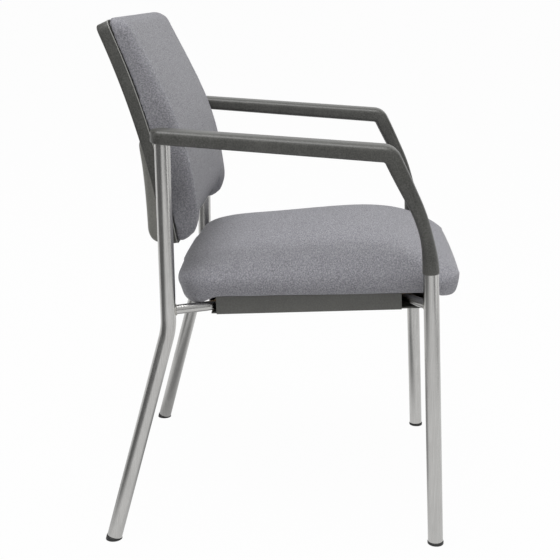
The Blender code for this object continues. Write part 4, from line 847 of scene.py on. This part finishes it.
def add_back_mouldings():
    outline = rounded_rectangle(BACK_W / 2, 0, PAN_H, PAN_CORNER)
    flat = put("back_pan", tray("back_pan", outline, lambda v: -PAN_D, 0.0008), PLASTIC)
    thicken(soften(flat, PAN_EDGE, 6), SHELL_WALL)
    rim, mouth = (rounded_rectangle(BACK_W / 2 - inset, inset, PAN_H - inset, PAN_CORNER)
                  for inset in (SHELL_WALL / 2, PAN_FLANGE))
    rim = plate("pan_rim", rim, -SHELL_WALL, 0)
    flat = cut(flat, [cut(rim, [plate("pan_mouth", mouth, -2 * SHELL_WALL, SHELL_WALL)])], "UNION")
    hatch = rounded_rectangle(COVER_HALF_W - COVER_HATCH, COVER_LOW + COVER_HATCH, COVER_TOP - COVER_HATCH,
                              COVER_CORNER / 2)
    hatch = plate("hatch", hatch, -2 * PAN_D, -PAN_D / 2)
    slot = BAR_H / 2 + GAP * 4
    slots = block("bar_slot", (-BACK_W, BAR_V - slot, -BAR_T - GAP * 8), (BACK_W, BAR_V + slot, BAR_T))
    piece(bent(cut(flat, [hatch, slots])), "plastic", "back_shell")

    # A thin pale cord along the pan's rim: a painted highlight along the rim's edge.
    path = [Vector((u, v, BEAD_F)) for u, v in spaced(outline, BEAD_STEP)]
    rings = []
    for i in range(len(path)):
        ahead = (path[(i + 1) % len(path)] - path[i - 1]).normalized()
        rings.append([back_place(*spot) for spot in circle(path[i], ahead.cross(Z_AXIS), Z_AXIS, BEAD_R, 10)])
    piece(skin("back_pan_highlight_cord", rings, RIM_HIGHLIGHT_PLASTIC, True, 80), "plastic")

    low_end, top_start = COVER_LOW + COVER_ROUND, COVER_TOP - COVER_CORNER
    heights = [COVER_LOW + COVER_ROUND * (1 - math.cos(turn)) for turn in quarter(12)]
    heights += [low_end + (top_start - low_end) * i / 10 for i in range(1, 11)]
    heights += [COVER_TOP - COVER_CORNER * (1 - math.sin(turn)) for turn in quarter(8, 1)]
    stations = [(COVER_LOW, 0.0), *((v, cover_rise(v)) for v in heights), (COVER_TOP, 0.0)]
    bm = bmesh.new()
    rows = [[bm.verts.new((u, v, f)) for u, f in cover_section(v, rise)] for v, rise in stations]
    for first, second in zip(rows, rows[1:]):
        for i in range(len(first) - 1):
            bm.faces.new((first[i], second[i], second[i + 1], first[i + 1]))
    bmesh.ops.remove_doubles(bm, verts=bm.verts[:], dist=1e-6)
    bmesh.ops.dissolve_degenerate(bm, edges=bm.edges[:], dist=1e-6)
    lowest = min(bm.faces, key=lambda face: face.calc_center_median().z)
    # The cover's pale plastic is partly its own colour and partly painted light.
    flat = put("rear_cover", mesh_of(bm, "rear_cover", lowest), COVER_PLASTIC_PALE_AND_LIT)
    flat.location.z = -PAN_D - GAP
    thicken(flat, COVER_WALL)
    piece(bent(flat), "plastic", "back_cover")


def cover_rise(v):
    """Depth of the cover behind the shell: a wedge whose lower end curves in to a lip."""
    t = (v - COVER_LOW) / (COVER_TOP - COVER_LOW)
    rise = COVER_RISE_LOW + (COVER_RISE_TOP - COVER_RISE_LOW) * t
    past = 1 - min((v - COVER_LOW) / COVER_ROUND, 1.0)
    return COVER_LIP + (rise - COVER_LIP) * math.sqrt(1 - past ** 2)


def cover_section(v, rise):
    """Points across the cover at a height: side, rounding, flat back, rounding and side."""
    near_end = min(v - COVER_LOW, COVER_TOP - v)
    past = max(0.0, 1 - near_end / COVER_CORNER)
    half = COVER_HALF_W - COVER_CORNER * (1 - math.sqrt(1 - past ** 2))
    round_r = min(COVER_SIDE, 0.9 * rise)
    right = [(-half, 0.0)]
    for turn in quarter(10):
        right.append((round_r * (1 - math.cos(turn)) - half, round_r * (1 - math.sin(turn)) - rise))
    return right + [(-u, f) for u, f in reversed(right)]


# Cushions


def pad_mesh(name, outline, levels):
    """A closed pad: loops of one outline drawn in towards its middle, from underneath to the top."""
    bm = bmesh.new()
    middle = (max(y for _, y in outline) + min(y for _, y in outline)) / 2
    loops = []
    for draw, place in levels:
        keep = 1 - draw
        loops.append([bm.verts.new(place(x * keep, middle + (y - middle) * keep)) for x, y in outline])
    bands(bm, loops)
    for loop, (_, place) in ((loops[0], levels[0]), (loops[-1], levels[-1])):
        tip = bm.verts.new(place(0, middle))
        for i in range(len(outline)):
            bm.faces.new((loop[i], loop[(i + 1) % len(outline)], tip))
    return mesh_of(bm, name)


def triples(values, key):
    """A property of many mesh parts, as rows of three."""
    found = np.empty(len(values) * 3)
    values.foreach_get(key, found)
    return found.reshape(-1, 3)


def inflate(thing, voxel, shrink, cap, hold, fuller=None, passes=0):
    """Foam under a tight cover: the pad starts a little small and swells under pressure, up to a cap.

    hold(points) gives how free each point is, from 0 on the faces that rest on something to 1.
    fuller(points, normals) gives how much more the foam stands out there.
    The free parts are then smoothed in a number of passes."""
    name, look = thing.name, thing.data.materials[0]
    thing = put(name, baked(modify(thing, "REMESH", mode="VOXEL", voxel_size=voxel)), look)
    mesh = thing.data
    form, out = triples(mesh.vertices, "co"), triples(mesh.vertex_normals, "vector")
    free = hold(form)[:, None]
    swell = np.full((len(form), 1), 0.4 * cap)
    mesh.vertices.foreach_set("co", (form - out * shrink * free).ravel())
    mesh.update()
    cloth = thing.modifiers.new("cover", "CLOTH")
    assign(cloth.settings, CLOTH)
    cloth.settings.effector_weights.gravity = 0.0
    cloth.point_cache.frame_start = 1
    cloth.point_cache.frame_end = CLOTH_FRAMES
    for number in range(1, CLOTH_FRAMES + 1):
        SCENE.frame_set(number)
    graph = bpy.context.evaluated_depsgraph_get()
    moved = triples(thing.evaluated_get(graph).data.vertices, "co")
    thing.modifiers.remove(cloth)
    SCENE.frame_set(1)
    swell = np.clip(((moved - form) * out).sum(1, keepdims=True), 0.0, cap)
    if fuller:
        swell = swell + fuller(form, out)[:, None]
    mesh.vertices.foreach_set("co", (form + out * swell * free).ravel())
    mesh.update()
    if passes:
        bm = bmesh.new()
        bm.from_mesh(mesh)
        loose = [v for v, share in zip(bm.verts, free) if share[0] >= 1]
        for _ in range(passes):
            bmesh.ops.smooth_vert(bm, verts=loose, factor=0.5, use_axis_x=True, use_axis_y=True,
                                  use_axis_z=True)
        bm.to_mesh(mesh)
        bm.free()
    return put(name, baked(modify(thing, "SUBSURF", levels=1, render_levels=1)), look, 60)


def seat_low(y):
    """Height of the cushion's lower rim, which hangs down at the front and at the rear."""
    start = SEAT_D / 2 - SEAT_LIP_START
    front = SEAT_LIP_FRONT * blend((-y - start) / SEAT_LIP_REACH)
    rear = SEAT_LIP_REAR * blend((y - start) / SEAT_LIP_REACH_REAR)
    return SEAT_RIM - front - rear


def seat_bulge(y):
    return SEAT_BULGE + SEAT_BULGE_REAR * blend(2 * y / SEAT_D)


def seat_height(y, draw):
    """Height of the cushion's domed top, which falls away to the front and to the rear."""
    half = SEAT_D / 2
    bulge = seat_bulge(y / (1 - draw))
    dome = SEAT_T - (SEAT_T - SEAT_EDGE_T) * (1 - draw) ** 2
    past = 1 - min(draw * half / SEAT_SHOULDER, 1.0)
    rise = (dome - bulge) * (1 - past ** 2.2) ** (1 / 2.2)
    if y > -SEAT_CREST:
        rise *= 1 - SEAT_FALL_REAR * ((y + SEAT_CREST) / (half + SEAT_CREST)) ** 1.5
    else:
        rise *= 1 - SEAT_FALL_FRONT * ((-SEAT_CREST - y) / (half - SEAT_CREST)) ** 2.4
    return bulge + rise


def seat_rim():
    half_x, half_y = SEAT_W / 2, SEAT_D / 2
    corners = rounded_rectangle(half_x, -half_y, half_y, SEAT_CORNER, 16, SEAT_CORNER_REAR)
    rim = []
    for x, y in spaced(corners, RIM_STEP):
        bow = SEAT_BOW_REAR if y > 0 else SEAT_BOW_FRONT
        rim.append((x, y * (1 - bow / half_y * (x / half_x) ** 2)))
    return rim


def seat_levels():
    yield 0.6, lambda x, y: (x, y, 0)
    yield 0.16, lambda x, y: (x, y, 0)
    for i in range(8):
        part = 1 - i / 8
        share = math.sin(part * math.pi / 2)
        yield (2 * SEAT_TUCK / SEAT_D * part ** 2.2,
               lambda x, y, share=share: (x, y, seat_bulge(y) * (1 - share) + seat_low(y) * share))
    for i in range(28):
        draw = 0.93 * (i / 27) ** 2
        yield draw, lambda x, y, draw=draw: (x, y, seat_height(y, draw))


def add_seat_cushion():
    mesh = pad_mesh("seat_upholstery", seat_rim(), list(seat_levels()))
    mesh.transform(SEAT_FRAME)
    local = np.array(SEAT_FRAME.inverted())

    def measure(spots, axis):
        return spots @ local[axis, :3] + local[axis, 3]

    def hold(spots):
        return np.clip((measure(spots, 2) - SEAT_RIM) / SEAT_FREE, 0, 1)

    def fuller(spots, facing):
        rear = np.clip((measure(spots, 1) - 0.10) / 0.10, 0, 1)
        level = np.exp(-((measure(spots, 2) - FULLER_Z) / FULLER_REACH) ** 2)
        return (SEAT_FULLER + SEAT_FULLER_REAR * rear) * level * (1 - facing[:, 2] ** 2)

    cushion = inflate(put("seat_upholstery", mesh, FABRIC_SEAT), SEAT_VOXEL, SEAT_SHRINK, SEAT_SWELL, hold,
                      fuller, SMOOTHING)
    more = GAP * 2
    recess = rounded_rectangle(SHELL_HALF_W + more, -SHELL_FRONT - more, SHELL_REAR + more, SHELL_CORNER,
                               far_corner=SHELL_CORNER_REAR)
    tools = [plate("pocket", board_outline(), -SEAT_BOARD_T, SEAT_BOARD_T + more, SEAT_FRAME),
             plate("recess", recess, -SEAT_T, SHELL_RISE, SEAT_FRAME)]
    for _, *sizes in CROSS_TUBES:
        tools.append(skin("groove", hoops(cross_path(*sizes), CROSS_R + more, 48), BLACK))
    cushion = piece(cut(cushion, tools), "fabric", "seat_cushion")


def pad_thickness(v):
    if v < LUMBAR_V:
        thick = BACK_PAD_LOW + (BACK_PAD_LUMBAR - BACK_PAD_LOW) * blend(v / LUMBAR_V)
    else:
        t = blend((v - LUMBAR_V) / (BACK_H - LUMBAR_V))
        thick = BACK_PAD_LUMBAR + (BACK_PAD_TOP - BACK_PAD_LUMBAR) * t
    for end, reach in ((BACK_H - v, BACK_TOP_ROUND), (v - BACK_PAD_RISE, BACK_LOW_ROUND)):
        t = min(max(1 - end / reach, 0.0), 1.0)
        thick *= 0.15 + 0.85 * math.sqrt(1 - t * t)
    return thick


def back_level(draw, share):
    """A loop of the back cushion: how far it is drawn in, and the place of its points."""
    def place(u, v):
        rise = blend((BACK_W / 2 - abs(u) - BACK_ARCH_END) / BACK_ARCH_RUN)
        arch = BACK_ARCH * rise * (1 - v / BACK_H) ** 2
        crown = BACK_CROWN * (1 - (1 - draw) ** 2) * share
        return back_place(u, v + arch, GAP + (pad_thickness(v) + crown) * share)
    return draw, place


def back_levels():
    """Loops of the back cushion, from its rear face round the sides and over the front."""
    for i in range(6):
        yield back_level(0.9 - 0.17 * i, 0.0)
    for i in range(5):
        yield back_level(0.0, BACK_WALL * i / 4)
    edge = 2 * BACK_EDGE / BACK_W
    for turn in quarter(8, 1):
        yield back_level(edge * (1 - math.cos(turn)), BACK_WALL + (1 - BACK_WALL) * math.sin(turn))
    for i in range(1, 19):
        yield back_level(edge + (0.95 - edge) * (i / 18) ** 1.4, 1.0)


def back_rim():
    corners = rounded_rectangle(BACK_W / 2, BACK_PAD_RISE, BACK_H, BACK_CORNER_LOW, 12, BACK_CORNER)
    return spaced(corners, RIM_STEP)


def add_back_seams(cushion):
    """Sewn ridges between the sides and the front face, laid on the finished cushion."""
    faces = [tuple(face.vertices) for face in cushion.data.polygons]
    cover = BVHTree.FromPolygons([v.co for v in cushion.data.vertices], faces)
    last = SEAM_STEPS - 1
    for word, side in SIDES:
        spots, outs = [], []
        for i in range(SEAM_STEPS):
            v = SEAM_LOW + (SEAM_TOP - SEAM_LOW) * i / last
            u = side * (BACK_W / 2 - SEAM_INSET_LOW - (SEAM_INSET_TOP - SEAM_INSET_LOW) * v / BACK_H)
            spot, out, _, _ = cover.find_nearest(back_place(u, v, pad_thickness(v) + BACK_CROWN))
            spots.append(spot)
            outs.append(out)
        rings = []
        for i in range(SEAM_STEPS):
            ahead = (spots[min(i + 1, last)] - spots[max(i - 1, 0)]).normalized()
            out = sum(outs[max(i - 3, 0):i + 4], Vector())
            out = (out - ahead * out.dot(ahead)).normalized()
            sink = SEAM_SINK + SEAM_SINK_ENDS * (1 - blend(min(i, last - i) / SEAM_FADE))
            rings.append(circle(spots[i] - out * sink * SEAM_R, out, ahead.cross(out), SEAM_R, 16))
        # The seams use the paler seam cloth: a painted highlight along the ridges.
        piece(skin("back_seam_" + word, rings, SEAM_CLOTH_HIGHLIT, sharp=80), "fabric")


def add_back_cushion():
    mesh = pad_mesh("back_upholstery", back_rim(), list(back_levels()))

    def hold(spots):
        return np.clip((back_spots(spots)[2] - GAP) / BACK_FREE, 0, 1)

    # The back cushion uses the darker copy of the cloth: painted shade.
    cushion = inflate(put("back_upholstery", mesh, FABRIC_BACK_SHADED), BACK_VOXEL, BACK_SHRINK, BACK_SWELL, hold)
    more = GAP * 2
    outline = rounded_rectangle(BACK_W / 2 - BOARD_INSET + more, BOARD_INSET - more,
                                BACK_H - BOARD_INSET + more, BOARD_CORNER)
    pocket = plate("pocket", outline, -BACK_BOARD_T, BACK_BOARD_T + more)
    cushion = piece(cut(cushion, [bent(pocket)]), "fabric", "back_cushion")
    add_back_seams(cushion)


# Studio and camera


def add_floor():
    bm = bmesh.new()
    bmesh.ops.create_grid(bm, x_segments=1, y_segments=1, size=300)
    look = Look("studio_floor")
    mottle = look.noise(look.place(), 3.0)
    paper = look.ramp(mottle, (0.3, (0.60, 0.60, 0.60)), (0.7, (0.63, 0.63, 0.63)))
    look.set(Base_Color=paper, Roughness=0.9, Specular_IOR_Level=0.1)
    seen = look.add("LightPath").outputs

    # Seen in the steel, the white paper ends in front of and behind the chair, and a painted shadow of the
    # chair lies on the floor under it
    spot = look.spot()
    x, y, _ = look.parts(spot)
    rear, front = look.span(y, 0.0, 0.85, 0.35, 0.95), look.span(y, 0.0, 0.85, -1.15, -1.60)
    ends = look.math("MULTIPLY", look.math("MAXIMUM", rear, front), look.span(x, 0.0, 1.0, 0.25, -0.35))
    away = look.add("VectorMath", {0: spot, 1: (-0.05, 0.20, 0)}, operation="DISTANCE").outputs["Value"]
    far = look.span(x, 0.0, 1.0, -0.32, -0.08)
    # Painted shadow of the chair on the floor, seen only in reflections.
    under = look.math("MULTIPLY", look.span(away, 0.66, 0.0, 0.20, 0.50), far)
    dark = look.math("MULTIPLY", look.math("MAXIMUM", ends, under), seen["Is Glossy Ray"])
    tone = look.ramp(dark, (0.0, (1, 1, 1)), (1.0, (0.02, 0.02, 0.02)))
    pale = look.add("Emission", {"Color": tone, "Strength": 1.0}).outputs[0]
    open_ray = look.math("MAXIMUM", look.math("MAXIMUM", seen["Is Camera Ray"], seen["Is Glossy Ray"]),
                         seen["Is Transmission Ray"])
    share = look.math("MULTIPLY", open_ray, 0.975)
    look.show(look.add("MixShader", {0: share, 1: look.shader.outputs[0], 2: pale}))
    floor = put("studio_floor", bm, look.made)


def add_world():
    sky = Look("studio", bpy.data.worlds, "Background")
    SCENE.world = sky.made
    sky.set(Color=(1, 1, 1, 1), Strength=0.34)
    seen = sky.add("LightPath").outputs
    white = sky.add("Background", {"Color": (1, 1, 1, 1), "Strength": 1.0}).outputs[0]

    # In reflections the studio is white behind and above, with darker wings at both sides
    wings = sky.math("ABSOLUTE", sky.parts(sky.spot("Generated"))["Y"])
    tone = sky.ramp(wings, (0.35, (1, 1, 1)), (0.85, (0.16, 0.16, 0.16)))
    mirror = sky.add("Background", {"Color": tone}).outputs[0]
    glossy = sky.add("MixShader", {0: seen["Is Glossy Ray"], 1: sky.shader.outputs[0], 2: mirror}).outputs[0]
    open_ray = sky.math("MAXIMUM", seen["Is Camera Ray"], seen["Is Transmission Ray"])
    sky.show(sky.add("MixShader", {0: open_ray, 1: glossy, 2: white}), "World Output")


def aim(name, data, place, ahead):
    """A lamp or camera at a place, looking ahead."""
    holder = bpy.data.objects.new(name, data)
    SCENE.collection.objects.link(holder)
    holder.location = place
    holder.rotation_mode = "QUATERNION"
    holder.rotation_quaternion = ahead.to_track_quat("-Z", "Y")
    return holder


def add_lamps():
    for name, place, size, power in (("key", (-0.95, 0.20, 5.0), 3.6, 190.0),
                                     ("front", (-0.55, -1.35, 0.50), 0.8, 2.2),
                                     ("side", (-2.4, -1.3, 1.2), 1.6, 1.4),
                                     ("rear", (-0.9, 1.9, 1.1), 1.0, 5.0)):
        lamp = bpy.data.lights.new(name, "AREA")
        lamp.shape = "SQUARE"
        lamp.size = size
        lamp.energy = power
        aim(name, lamp, place, Vector((0, 0, 0.45)) - Vector(place)).visible_camera = False


def add_camera():
    pitch, yaw = 0.2654, 0.0560
    lens = bpy.data.cameras.new("camera")
    lens.sensor_width = 36.0
    lens.lens = 69.53
    ahead = Vector((math.cos(pitch) * math.cos(yaw), math.cos(pitch) * math.sin(yaw), -math.sin(pitch)))
    holder = aim("camera", lens, (-1.8895, -0.0920, 0.8951), ahead)
    bpy.context.scene.camera = holder


add_frame()
for arm_word, arm_side in SIDES:
    add_arm(arm_word, arm_side)
add_seat_shell()
add_back_mouldings()
add_seat_cushion()
add_back_cushion()

FINISHES = {"seat_board": PLY, "back_board": PLY, "back_bracket_bar": STEEL_X}
for node, made in frame["nodes"].items():
    if made.hide_render:
        continue
    finish = BLACK if node.startswith("seat_saddle") else FINISHES.get(node, ZINC)
    for slot_place in made.material_slots:
        slot_place.material = finish

add_floor()
add_world()
add_lamps()
add_camera()
bpy.context.scene.view_settings.view_transform = "Standard"
